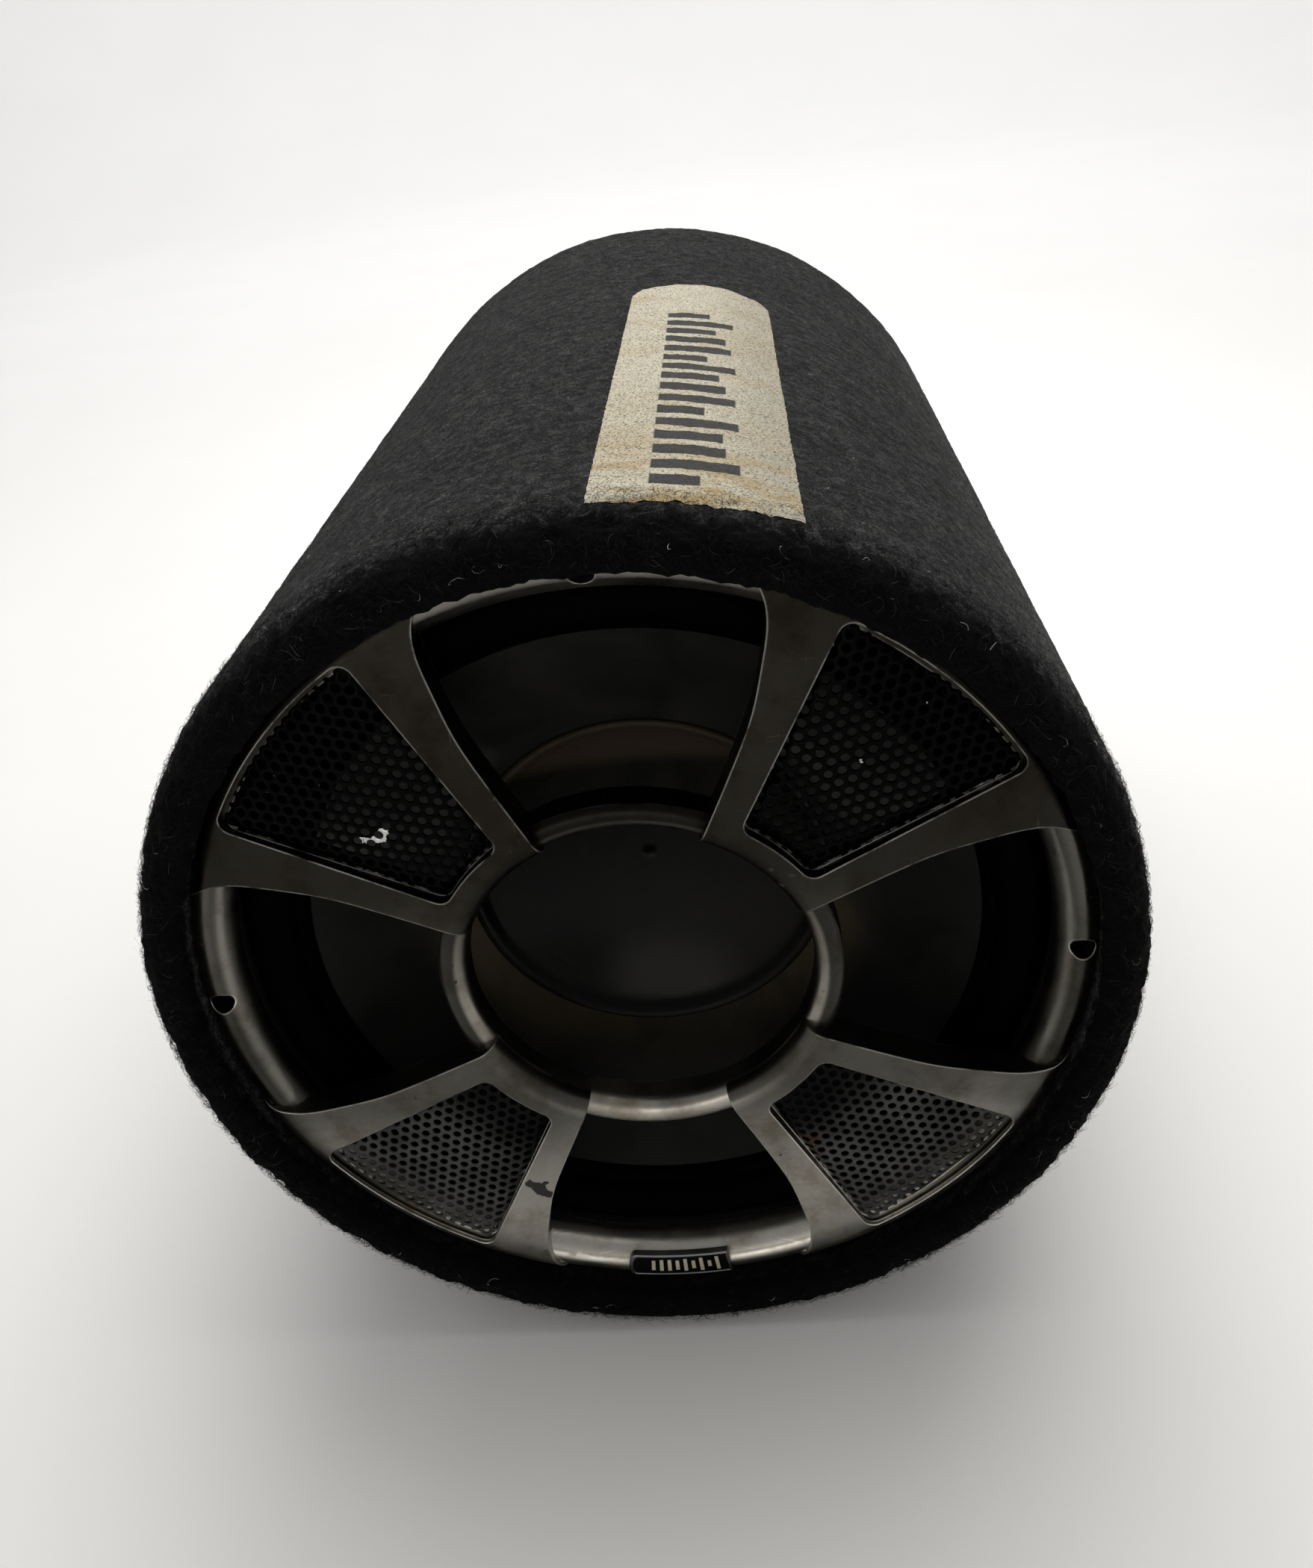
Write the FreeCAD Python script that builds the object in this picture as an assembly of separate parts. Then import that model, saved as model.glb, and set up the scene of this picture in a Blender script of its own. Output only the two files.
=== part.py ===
"""Twelve-inch bass tube for a car: a carpeted tubular cabinet with a driver behind a spoked grille.

Frame: millimetres, +Z up, the tube lies along Y with its grille towards -Y, and the origin is
the point of the floor midway along the tube. Depths are measured along the tube from a plane
LIP_FRONT ahead of the carpet lip. Radii are measured from the tube's axis unless a comment says otherwise.
"""

import math
import os

import FreeCAD
import Part

V = FreeCAD.Vector

# ---------------------------------------------------------------- driving dimensions
LENGTH = 496.0  # depth of the rear edge
OUTER_R = 175.0
CARPET_T = 3.0
TUBE_WALL = 9.0
LIP_CROWN_R = 165.0  # where the front lip is most forward
LIP_FRONT = 3.0  # depth of the lip's crown
LIP_DEPTH = 24.0  # how far back the lip's rounding reaches on the outside
LIP_INSIDE_R = OUTER_R - 2 * CARPET_T - TUBE_WALL
CORE_R = OUTER_R - CARPET_T
BORE_R = CORE_R - TUBE_WALL
REAR_ROUND = 4.0

FRONT_Y = -(LENGTH + LIP_FRONT) / 2
FLATTENED = 0.8  # how far the tube's weight presses the felt flat under it
AXIS_Z = OUTER_R - FLATTENED

BAFFLE_FRONT = 46.0
BAFFLE_T = 18.0
BAFFLE_HOLE_R = 142.0
REAR_PANEL_BACK = 484.0
REAR_PANEL_T = 16.0

# grille
GRILLE_R = 159.0
HUB_OPENING_R = 62.0
HUB_OUTER_R = 72.0
SPOKE_FACE = 12.5  # at the hub, and the spokes slope back to SPOKE_RIM_FACE
SPOKE_RIM_FACE = 14.7
SPOKE_BACK = 16.7
SPOKE_WALL = 2.4
SPOKE_FOOT = 26.0
GRILLE_BACK = 36.0
MESH_T = 0.8
MESH_FRONT = SPOKE_BACK + 0.1
SHELF = MESH_FRONT + MESH_T + 0.1
HOLE_PITCH = 4.6
HOLE_R = 1.55
WINDOW_R = 153.5
SHELF_WELL_R = 151.0
POD_ANGLES = (45.0, 135.0, 225.0, 315.0)
POD_NAMES = ("upper_right", "upper_left", "lower_left", "lower_right")
SCREW_CIRCLE_R = 153.5
SCREW_WELL_R = 4.2

# driver
FLANGE_FRONT = 42.0
FLANGE_T = BAFFLE_FRONT - FLANGE_FRONT
FLANGE_R = 156.5
CONE_RIM_R = 127.0
CONE_SLOPE = 0.644
CONE_T = 1.2
CAP_SEAT_R = 71.5
CAP_RIM_R = 66.6
CAP_RIM_DEPTH = 80.0
CAP_SINK = 17.0
COIL_R = 25.4
SPIDER_DEPTH = 112.0
PLATE_FRONT = 132.0
PLATE_T = 10.0
MAGNET_T = 30.0
DRIVER_SCREW_R = 153.0
QUARTERS = (0, 90, 180, 270)
EIGHTHS = [22.5 + 45 * i for i in range(8)]

# rear fittings, placed by their height over the tube's axis
PORT_UP = 58.0
PORT_R = 50.0
PORT_WALL = 3.0
PORT_LENGTH = 160.0
CUP_UP = -92.0
CUP_HALF_W = 34.0
CUP_HALF_H = 24.0
CUP_FLOOR = 466.0
CUP_WALL = 2.0
LEVER_X = 13.0
PIVOT_UP = 2.0
PIVOT_DEPTH = 481.0
PIVOT_R = 1.2

# label
LABEL_HALF_W = 32.0
LABEL_FRONT = 22.0
LABEL_BACK = 295.0
LABEL_TURN = 11.8


# ---------------------------------------------------------------- helpers
def point(r, depth, angle=0.0):
    """A point at radius r and this depth, angle degrees up from +X as seen from the front."""
    a = math.radians(angle)
    return V(r * math.cos(a), FRONT_Y + depth, AXIS_Z + r * math.sin(a))


def path_face(start, moves):
    """Face in the (radius, depth) half plane. A move is a point, or (middle, end) of an arc."""
    edges = []
    here = start
    for move in list(moves) + [start]:
        if isinstance(move[0], tuple):
            middle, end = move
            edges.append(Part.Arc(point(*here), point(*middle), point(*end)).toShape())
            here = end
        elif move != here:
            edges.append(Part.makeLine(point(*here), point(*move)))
            here = move
    return Part.Face(Part.Wire(edges))


def revolve(start, moves, turn=360.0):
    """Solid of revolution about the tube's axis; a part turn is centred on +X."""
    solid = path_face(start, moves).revolve(V(0, 0, AXIS_Z), V(0, -1, 0), turn)
    solid.rotate(V(0, 0, AXIS_Z), V(0, -1, 0), -turn / 2)
    return solid


def rod(r, depth0, depth1, x=0.0, up=0.0):
    """Cylinder along the tube's direction."""
    return Part.makeCylinder(r, depth1 - depth0, V(x, FRONT_Y + depth0, AXIS_Z + up), V(0, 1, 0))


def pipe(r_in, r_out, depth0, depth1, x=0.0, up=0.0):
    return rod(r_out, depth0, depth1, x, up).cut(rod(r_in, depth0 - 1, depth1 + 1, x, up))


def block(x0, x1, depth0, depth1, up0, up1):
    corner = V(x0, FRONT_Y + depth0, AXIS_Z + up0)
    return Part.makeBox(x1 - x0, depth1 - depth0, up1 - up0, corner)


def around(shape, angle):
    """The shape turned about the tube's axis, counter-clockwise as seen from the front."""
    turned = shape.copy()
    turned.rotate(V(0, 0, AXIS_Z), V(0, -1, 0), angle)
    return turned


def at_angles(shape, angles):
    return [around(shape, angle) for angle in angles]


def fuse(shapes):
    return shapes[0].multiFuse(shapes[1:]).removeSplitter()


def bent_rod(r, points):
    """Round cord through these points."""
    spine = Part.BSplineCurve()
    spine.interpolate(points)
    wire = Part.Wire(spine.toShape())
    start = Part.Wire(Part.makeCircle(r, points[0], spine.tangent(0.0)[0]))
    return wire.makePipeShell([start], True, False)


def save(name, shape):
    shape.exportStep("parts/" + name + ".step")
    print(name, shape.isValid(), len(shape.Solids), round(shape.Volume / 1000, 2), "cm3")


# ---------------------------------------------------------------- cabinet
def lip_curve(r_side, depth_front, steps=6):
    """Points of the elliptical lip, from its crown to the side wall at radius r_side."""
    points = []
    for i in range(steps + 1):
        t = math.pi / 2 * i / steps
        r = LIP_CROWN_R + (r_side - LIP_CROWN_R) * math.sin(t)
        depth = LIP_DEPTH - (LIP_DEPTH - depth_front) * math.cos(t)
        points.append(point(r, depth))
    return points


def lipped_shell(r_side, depth_front, r_bore, depth_bore, outline_back):
    """Revolved wall whose front edge is the elliptical lip; outline_back closes it behind."""
    curve = Part.BSplineCurve()
    curve.interpolate(
        Points=lip_curve(r_side, depth_front), InitialTangent=V(1, 0, 0), FinalTangent=V(0, 1, 0)
    )
    nose = point(LIP_CROWN_R, depth_front)
    middle = point(r_bore + 0.26 * (LIP_CROWN_R - r_bore), depth_front + 0.3 * (depth_bore - depth_front))
    corner = point(r_bore, depth_bore)
    edges = [Part.Arc(corner, middle, nose).toShape(), curve.toShape()]
    here = (r_side, LIP_DEPTH)
    for there in outline_back + [(r_bore, depth_bore)]:
        edges.append(Part.makeLine(point(*here), point(*there)))
        here = there
    face = Part.Face(Part.Wire(edges))
    return face.revolve(V(0, 0, AXIS_Z), V(0, -1, 0), 360)


def tube_body():
    rear = LENGTH - CARPET_T
    front = LIP_FRONT + CARPET_T
    return lipped_shell(CORE_R, front, BORE_R, front + 3.0, [(CORE_R, rear), (BORE_R, rear)])


def carpet_wrap():
    """Felt glued round the tube and folded in at both ends, down to the baffle and panel."""
    rear_edge = [
        (OUTER_R, LENGTH - REAR_ROUND),
        (OUTER_R - REAR_ROUND * 0.3, LENGTH - REAR_ROUND * 0.3),
        (OUTER_R - REAR_ROUND, LENGTH),
        (LIP_INSIDE_R + 2, LENGTH),
        (LIP_INSIDE_R, LENGTH - 2),
    ]
    felt = lipped_shell(OUTER_R, LIP_FRONT, LIP_INSIDE_R, LIP_FRONT + 5.0, rear_edge).cut(tube_body())
    middle = pipe(LIP_INSIDE_R - 1, BORE_R, BAFFLE_FRONT - 0.1, REAR_PANEL_BACK + 0.1)
    return felt.cut([middle, block(-50, 50, -1, LENGTH + 1, -OUTER_R - 1, -AXIS_Z)])


def front_baffle():
    ring = pipe(BAFFLE_HOLE_R, BORE_R, BAFFLE_FRONT, BAFFLE_FRONT + BAFFLE_T)
    cuts = at_angles(rod(2.05, 40, 80, SCREW_CIRCLE_R), QUARTERS)
    cuts += at_angles(rod(2.05, 40, 80, DRIVER_SCREW_R), EIGHTHS)
    return ring.cut(cuts)


def rear_panel():
    disc = rod(BORE_R, REAR_PANEL_BACK - REAR_PANEL_T, REAR_PANEL_BACK)
    port = rod(PORT_R + PORT_WALL + 0.1, 400, 500, 0, PORT_UP)
    w, h = CUP_HALF_W + 0.3, CUP_HALF_H + 0.3
    cup = block(-w, w, 400, 500, CUP_UP - h, CUP_UP + h)
    pilots = [rod(1.55, 400, 500, x, up) for x, up in cup_screw_places()]
    return disc.cut([port, cup] + pilots)


def rear_carpet():
    disc = rod(LIP_INSIDE_R - 0.3, REAR_PANEL_BACK, REAR_PANEL_BACK + CARPET_T)
    port = rod(PORT_R + PORT_WALL + 0.5, 400, 500, 0, PORT_UP)
    w, h = CUP_HALF_W + 0.3, CUP_HALF_H + 0.3
    cup = block(-w, w, 400, 500, CUP_UP - h, CUP_UP + h)
    pilots = [rod(1.7, 400, 500, x, up) for x, up in cup_screw_places()]
    return disc.cut([port, cup] + pilots)


def damping_wadding():
    """Polyester wadding lining the tube between the baffle and the rear panel."""
    front = BAFFLE_FRONT + BAFFLE_T + 1
    back = REAR_PANEL_BACK - REAR_PANEL_T - 1
    return pipe(BORE_R - 15, BORE_R - 0.1, front, back)


def carpet_label():
    """Rounded panel printed on the carpet, turned a little off the top."""
    left, right = -LABEL_HALF_W, LABEL_HALF_W
    y0 = FRONT_Y + LABEL_FRONT
    y1 = FRONT_Y + LABEL_BACK
    z = AXIS_Z + 100
    corners = [V(left, y1, z), V(left, y0, z), V(right, y0, z), V(right, y1, z)]
    edges = [Part.makeLine(a, b) for a, b in zip(corners, corners[1:])]
    edges.append(Part.Arc(corners[3], V(0, y1 + LABEL_HALF_W, z), corners[0]).toShape())
    prism = Part.Face(Part.Wire(edges)).extrude(V(0, 0, 100))
    skin = pipe(OUTER_R + 0.02, OUTER_R + 0.32, 0, LENGTH)
    return around(prism.common(skin), -LABEL_TURN)


# ---------------------------------------------------------------- grille
def flat_point(r, angle):
    return point(r, 0, angle)


def spoke_side(inset):
    """Side of a mesh frame as (radius, half angle) points, hub to rim, moved in by inset."""
    side = [(62.0, 20.5), (80.0, 20.4), (97.0, 20.4), (114.0, 20.8), (131.0, 22.1), (147.0, 23.7)]
    side.append((GRILLE_R - 0.1, 27.4))
    moved = []
    for i, (r, angle) in enumerate(side):
        before = side[max(i - 1, 0)]
        after = side[min(i + 1, len(side) - 1)]
        run = after[0] - before[0]
        flare = math.atan2(r * math.radians(after[1] - before[1]), run)
        along = r + inset * math.sin(flare)
        across = math.degrees(inset * math.cos(flare) / r)
        moved.append((along, angle - across))
    moved[0] = (HUB_OPENING_R + inset, moved[0][1])
    moved[-1] = (GRILLE_R - 0.1 - inset, moved[-1][1])
    return moved


def pod_outline(inset=0.0):
    """Wire round one mesh frame, centred on +X, in the plane of the lip's front edge."""
    side = spoke_side(inset)
    upper = Part.BSplineCurve()
    upper.interpolate([flat_point(r, a) for r, a in side])
    lower = Part.BSplineCurve()
    lower.interpolate([flat_point(r, -a) for r, a in side])
    arcs = []
    for r, angle in (side[0], side[-1]):
        ends = flat_point(r, angle), flat_point(r, -angle)
        arcs.append(Part.Arc(ends[0], flat_point(r, 0), ends[1]).toShape())
    return Part.Wire(Part.__sortEdges__([upper.toShape(), arcs[1], lower.toShape(), arcs[0]]))


def window_outline(grow=0.0, outer_r=WINDOW_R):
    """Wire round a mesh window: a flared slot with rounded corners, grown outwards by grow."""
    inner_r, inner_half = 73.5, 12.0
    outer_half = 15.0
    corners = [
        flat_point(inner_r, -inner_half),
        flat_point(outer_r, -outer_half),
        flat_point(outer_r, outer_half),
        flat_point(inner_r, inner_half),
    ]
    edges = [
        Part.makeLine(corners[0], corners[1]),
        Part.Arc(corners[1], flat_point(outer_r, 0), corners[2]).toShape(),
        Part.makeLine(corners[2], corners[3]),
        Part.Arc(corners[3], flat_point(inner_r, 0), corners[0]).toShape(),
    ]
    prism = Part.Face(Part.Wire(edges)).extrude(V(0, 10, 0))
    upright = [e for e in prism.Edges if abs(e.BoundBox.YLength - 10) < 1e-6 and e.BoundBox.XLength < 1]
    prism = prism.makeFillet(4.5, upright)
    base = [f for f in prism.Faces if f.BoundBox.YMax < FRONT_Y + 0.01][0]
    wire = base.OuterWire
    if grow:
        wire = wire.makeOffset2D(grow)
    return wire


def slab(wire, depth0, depth1):
    """Solid over a wire of the lip's front plane, between two depths."""
    solid = Part.Face(wire).extrude(V(0, depth1 - depth0, 0))
    solid.translate(V(0, depth0, 0))
    return solid


def ring_envelope(gap=0.0):
    """Outer ring as a full body: bullnose in front, flared wall to the gasket behind."""
    return revolve(
        (GRILLE_R, GRILLE_BACK),
        [
            (GRILLE_R, 20.6 - gap),
            ((155.2, 17.2 - gap), (150.2 - gap, 18.9 - gap)),
            ((147.0 - gap, 22.6 - gap), (145.4 - gap, 28.4)),
            (145.4 - gap, 30.0),
            (149.4 - gap, 34.2),
            (149.4 - gap, GRILLE_BACK),
        ],
    )


def ring_hollow():
    return revolve(
        (156.8, GRILLE_BACK + 1),
        [
            (156.8, 22.0),
            ((154.6, 19.5), (151.8, 20.9)),
            (149.3, 24.0),
            (147.7, 29.2),
            (151.8, 33.4),
            (151.8, GRILLE_BACK + 1),
        ],
    )


def hub_envelope(gap=0.0):
    return revolve(
        (HUB_OUTER_R + gap, 30.0),
        [
            (HUB_OUTER_R + gap, 19.0 - gap),
            ((68.0, 17.0 - gap), (HUB_OPENING_R - gap, 22.5)),
            (HUB_OPENING_R - gap, 30.0),
        ],
    )


def hub_hollow():
    return revolve((69.6, 31.0), [(69.6, 20.6), ((67.6, 19.6), (64.4, 23.0)), (64.4, 31.0)])


def grille_base():
    """One moulding: outer ring, hub ring, and the shelves that carry the mesh inserts."""
    shelf_wire = pod_outline(SPOKE_WALL + 0.2)
    well = slab(window_outline(0.0, SHELF_WELL_R), 0, 60)
    limit = pipe(HUB_OPENING_R, GRILLE_R, 0, SPOKE_FOOT)
    shelf = slab(shelf_wire, SHELF, SPOKE_FOOT).cut(well).common(limit)
    lowered = slab(shelf_wire, 0, SHELF)
    rings = [ring_envelope().cut(ring_hollow()), hub_envelope().cut(hub_hollow())]
    boss = rod(5.4, 16.0, GRILLE_BACK, SCREW_CIRCLE_R).common(ring_envelope())
    body = fuse(rings + at_angles(boss, QUARTERS) + at_angles(shelf, POD_ANGLES))
    cuts = at_angles(lowered, POD_ANGLES)
    cuts += at_angles(rod(SCREW_WELL_R, 0, 28, SCREW_CIRCLE_R), QUARTERS)
    cuts += at_angles(rod(2.3, 20, 60, SCREW_CIRCLE_R), QUARTERS)
    return body.cut(cuts)


def spoke_front():
    """Body that the mesh frames are turned from: flat face, rounded at the hub and the rim."""
    return revolve(
        (HUB_OPENING_R, SPOKE_FOOT),
        [
            (HUB_OPENING_R, 19.5),
            ((64.0, 14.6), (69.0, SPOKE_FACE)),
            (153.0, SPOKE_RIM_FACE),
            ((157.1, 16.3), (GRILLE_R - 0.1, 20.2)),
            (GRILLE_R - 0.1, SPOKE_FOOT),
        ],
    )


def mesh_frame():
    """Cover that clamps one mesh insert: a skin with a window, and a wall round its edge."""
    outline = pod_outline()
    skin = slab(outline, 0, SPOKE_BACK)
    wall = slab(outline, 0, SPOKE_FOOT).cut(slab(pod_outline(SPOKE_WALL), -1, SPOKE_FOOT + 1))
    cover = skin.fuse(wall).common(spoke_front())
    cover = cover.cut([slab(window_outline(), -1, 40), ring_envelope(0.08), hub_envelope(0.08)])
    return cover.removeSplitter()


def mesh_insert():
    """Perforated sheet with staggered round holes, held under the edge of its window."""
    rim = WINDOW_R - 1.5
    sheet = window_outline(2.2, rim)
    limit = Part.Face(window_outline(2.2 - HOLE_R - 0.5, rim))
    row_gap = HOLE_PITCH * math.sqrt(3) / 2
    wires = []
    for row in range(20):
        r = 73.0 + row * row_gap
        for column in range(-11, 12):
            across = (column + 0.5 * (row % 2)) * HOLE_PITCH
            centre = V(r, FRONT_Y, AXIS_Z + across)
            if limit.isInside(centre, 0.01, True):
                wires.append(Part.Wire(Part.makeCircle(HOLE_R, centre, V(0, 1, 0))))
    face = Part.Face([sheet] + wires)
    face.validate()
    solid = face.extrude(V(0, MESH_T, 0))
    solid.translate(V(0, MESH_FRONT, 0))
    return solid


def grille_screw():
    head = rod(4.0, 25.0, 28.0, SCREW_CIRCLE_R)
    recess = block(SCREW_CIRCLE_R - 2.2, SCREW_CIRCLE_R + 2.2, 24, 26.2, -0.5, 0.5)
    cross = block(SCREW_CIRCLE_R - 0.5, SCREW_CIRCLE_R + 0.5, 24, 26.2, -2.2, 2.2)
    return head.fuse(rod(2.0, 28.0, 60.0, SCREW_CIRCLE_R)).removeSplitter().cut([recess, cross])


def badge():
    """Plate on the ring's lowest point: rounded at its left end, square at its right."""
    r0, r1, half = 145.7, 157.7, 7.4
    middle = (r0 + r1) / 2
    down = -90.0
    left, right = down - half, down + half
    end = flat_point(middle, left - 2.2)
    edges = [
        Part.Arc(flat_point(r0, left), flat_point(r0, down), flat_point(r0, right)).toShape(),
        Part.makeLine(flat_point(r0, right), flat_point(r1, right)),
        Part.Arc(flat_point(r1, right), flat_point(r1, down), flat_point(r1, left)).toShape(),
        Part.Arc(flat_point(r1, left), end, flat_point(r0, left)).toShape(),
    ]
    plate = slab(Part.Wire(edges), 15.9, 23.0)
    plug = around(rod(SCREW_WELL_R + 0.2, 10, 30, SCREW_CIRCLE_R), -90)
    return plate.cut([ring_envelope(0.05), plug.common(slab(Part.Wire(edges), 17.6, 23.0))])


def front_gasket():
    """Foam ring on the driver's flange, which the grille presses down."""
    ring = revolve(
        (147.6, GRILLE_BACK),
        [
            (GRILLE_R - 0.2, GRILLE_BACK),
            (GRILLE_R - 0.2, BAFFLE_FRONT),
            (FLANGE_R + 0.05, BAFFLE_FRONT),
            (FLANGE_R + 0.05, FLANGE_FRONT),
            (149.4, FLANGE_FRONT),
            (149.4, FLANGE_FRONT - 1.25),
            (147.6, FLANGE_FRONT - 1.25),
        ],
    )
    cuts = at_angles(rod(2.3, 30, 60, SCREW_CIRCLE_R), QUARTERS)
    cuts += at_angles(rod(3.9, 38.4, 60, DRIVER_SCREW_R - 0.3), EIGHTHS)
    return ring.cut(cuts)


# ---------------------------------------------------------------- driver
def cone_depth(r):
    """Depth of the cone's front face at radius r."""
    return FLANGE_FRONT + (CONE_RIM_R - r) * CONE_SLOPE


def cone():
    neck = COIL_R + 0.35
    drop = CONE_T * math.hypot(1, CONE_SLOPE)
    return revolve(
        (CONE_RIM_R, cone_depth(CONE_RIM_R)),
        [
            (neck, cone_depth(neck)),
            (neck, cone_depth(neck) + drop),
            (CONE_RIM_R, cone_depth(CONE_RIM_R) + drop),
        ],
    )


def dust_cap():
    """Concave cap whose raised rim is glued on the cone."""
    sphere_r = (CAP_RIM_R**2 + CAP_SINK**2) / (2 * CAP_SINK)
    half_r = CAP_RIM_R / 2
    half_sink = CAP_SINK - (sphere_r - math.sqrt(sphere_r**2 - half_r**2))
    seat = cone_depth(CAP_SEAT_R)
    return revolve(
        (CAP_SEAT_R, seat - 0.02),
        [
            (CAP_SEAT_R - 0.7, seat - 1.3),
            ((68.9, seat - 0.9), (CAP_RIM_R, CAP_RIM_DEPTH)),
            ((half_r, CAP_RIM_DEPTH + half_sink), (0.0, CAP_RIM_DEPTH + CAP_SINK)),
            (0.0, CAP_RIM_DEPTH + CAP_SINK + 1.0),
            ((half_r, CAP_RIM_DEPTH + half_sink + 1.05), (CAP_RIM_R - 0.6, cone_depth(CAP_RIM_R))),
            (CAP_RIM_R, cone_depth(CAP_RIM_R) - 0.03),
        ],
    )


def surround():
    """Half-roll rubber surround between the cone's rim and the flange."""
    t = 1.2
    inner, outer = CONE_RIM_R + 0.6, 147.6
    mid = (inner + outer) / 2
    base = FLANGE_FRONT - 1.2
    crest = base - 8.6
    lip_r = 123.5
    lip = cone_depth(lip_r) - 0.35
    edge = cone_depth(CONE_RIM_R) - 0.35
    return revolve(
        (lip_r, lip - 1.0),
        [
            (inner - 0.5, edge - 1.2),
            ((mid, crest), (outer - 0.6, base)),
            (149.3, base),
            (149.3, base + t - 0.05),
            (outer - t - 0.6, base + t - 0.05),
            ((mid, crest + t), (inner + t - 0.4, base + t - 0.6)),
            (CONE_RIM_R, edge),
            (lip_r, lip),
        ],
    )


def voice_coil_former():
    return pipe(COIL_R, COIL_R + 0.3, cone_depth(COIL_R + 0.35), 153.0)


def voice_coil_winding():
    return pipe(COIL_R + 0.3, COIL_R + 1.2, 123.0, 151.0)


def spider():
    """Corrugated centring disc."""
    waves, r0, r1, t = 5, COIL_R + 0.65, 69.0, 0.6
    top = [(r0, SPIDER_DEPTH - t)]
    for i in range(1, 2 * waves):
        r = r0 + 3 + (r1 - r0 - 3) * i / (2 * waves)
        top.append((r, SPIDER_DEPTH - t + (2.2 if i % 2 else -2.2)))
    top += [(r1, SPIDER_DEPTH - t - 0.05), (79.5, SPIDER_DEPTH - t - 0.05)]
    bottom = [(r, depth + t) for r, depth in reversed(top)]
    return revolve(top[0], top[1:] + bottom)


def driver_basket():
    """Frame: flange, six arms, spider ledge, and the seat for the top plate."""
    body = revolve(
        (139.0, FLANGE_FRONT),
        [
            (139.0, 46.0),
            (81.0, SPIDER_DEPTH),
            (70.0, SPIDER_DEPTH),
            (62.0, 128.0),
            (30.0, 128.0),
            (30.0, PLATE_FRONT),
            (64.5, PLATE_FRONT),
            (72.5, SPIDER_DEPTH + 3),
            (83.0, SPIDER_DEPTH + 3),
            (141.3, 48.0),
            (141.3, BAFFLE_FRONT),
            (FLANGE_R, BAFFLE_FRONT),
            (FLANGE_R, FLANGE_FRONT),
        ],
    )
    window = revolve((150, 53), [(150, 105), (80, 105), (80, 53)], 40.0)
    cuts = at_angles(window, [60 * i for i in range(6)])
    cuts += at_angles(rod(2.3, 30, 60, SCREW_CIRCLE_R), QUARTERS)
    cuts += at_angles(rod(2.3, 30, 60, DRIVER_SCREW_R), EIGHTHS)
    return body.cut(cuts)


def driver_screw():
    head = rod(3.4, FLANGE_FRONT - 2.6, FLANGE_FRONT, DRIVER_SCREW_R)
    return head.fuse(rod(2.0, FLANGE_FRONT, 61, DRIVER_SCREW_R)).removeSplitter()


def top_plate():
    return pipe(COIL_R + 1.9, 64.0, PLATE_FRONT, PLATE_FRONT + PLATE_T)


def ring_magnet():
    return pipe(34.0, 72.0, PLATE_FRONT + PLATE_T, PLATE_FRONT + PLATE_T + MAGNET_T)


def pole_and_back_plate():
    back = PLATE_FRONT + PLATE_T + MAGNET_T
    pole = rod(COIL_R - 0.9, PLATE_FRONT, back + 8)
    plate = rod(66.0, back, back + 8)
    vent = rod(8.0, 100, 220)
    return pole.fuse(plate).removeSplitter().cut(vent)


def terminal_strip():
    """Insulating strip with two solder lugs on the lowest arm of the basket."""
    strip = block(-26, 26, 90, 92.2, -116, -105.6)
    inside_basket = revolve((0, 40), [(141.4, 40), (141.4, 48), (83.1, 115.1), (0, 115.1)])
    foot = block(-6, 6, 80, 90.2, -115, -106.5).cut(inside_basket)
    lugs = [block(x - 2.5, x + 2.5, 88.6, 90, -114, -104) for x in (-22, 22)]
    cuts = [rod(1.6, 80, 100, x, -112) for x in (-22, 22)]
    return fuse([strip, foot] + lugs).cut(cuts)


def tinsel_lead(side):
    """Braided lead from a lug of the strip to the back of the cone."""
    lug = V(side * 22.0, FRONT_Y + 93.4, AXIS_Z - 108)
    middle = V(side * 21.0, FRONT_Y + 97.0, AXIS_Z - 82)
    low = V(side * 17.0, FRONT_Y + 98.0, AXIS_Z - 66)
    glue = V(side * 12.0, FRONT_Y + 95.0, AXIS_Z - 50)
    return bent_rod(1.0, [lug, middle, low, glue])


# ---------------------------------------------------------------- rear fittings
def port_tube():
    """Bass-reflex tube with a flared, flanged mouth in the rear panel."""
    mouth = REAR_PANEL_BACK + CARPET_T
    front = mouth - PORT_LENGTH
    r_in, r_out = PORT_R, PORT_R + PORT_WALL
    wall = Part.Face(
        Part.Wire(
            [
                Part.makeLine(point(r_in, front), point(r_in, mouth - 8)),
                Part.Arc(
                    point(r_in, mouth - 8), point(r_in + 3.2, mouth - 0.2), point(r_in + 11, mouth + 3)
                ).toShape(),
                Part.makeLine(point(r_in + 11, mouth + 3), point(r_in + 17, mouth + 3)),
                Part.makeLine(point(r_in + 17, mouth + 3), point(r_in + 19, mouth + 0.05)),
                Part.makeLine(point(r_in + 19, mouth + 0.05), point(r_out, mouth + 0.05)),
                Part.makeLine(point(r_out, mouth + 0.05), point(r_out, front)),
                Part.makeLine(point(r_out, front), point(r_in, front)),
            ]
        )
    )
    tube = wall.revolve(V(0, 0, AXIS_Z), V(0, -1, 0), 360)
    tube.translate(V(0, 0, PORT_UP))
    return tube


def cup_screw_places():
    return [(x, CUP_UP + up) for x in (-40.0, 40.0) for up in (-30.0, 30.0)]


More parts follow.
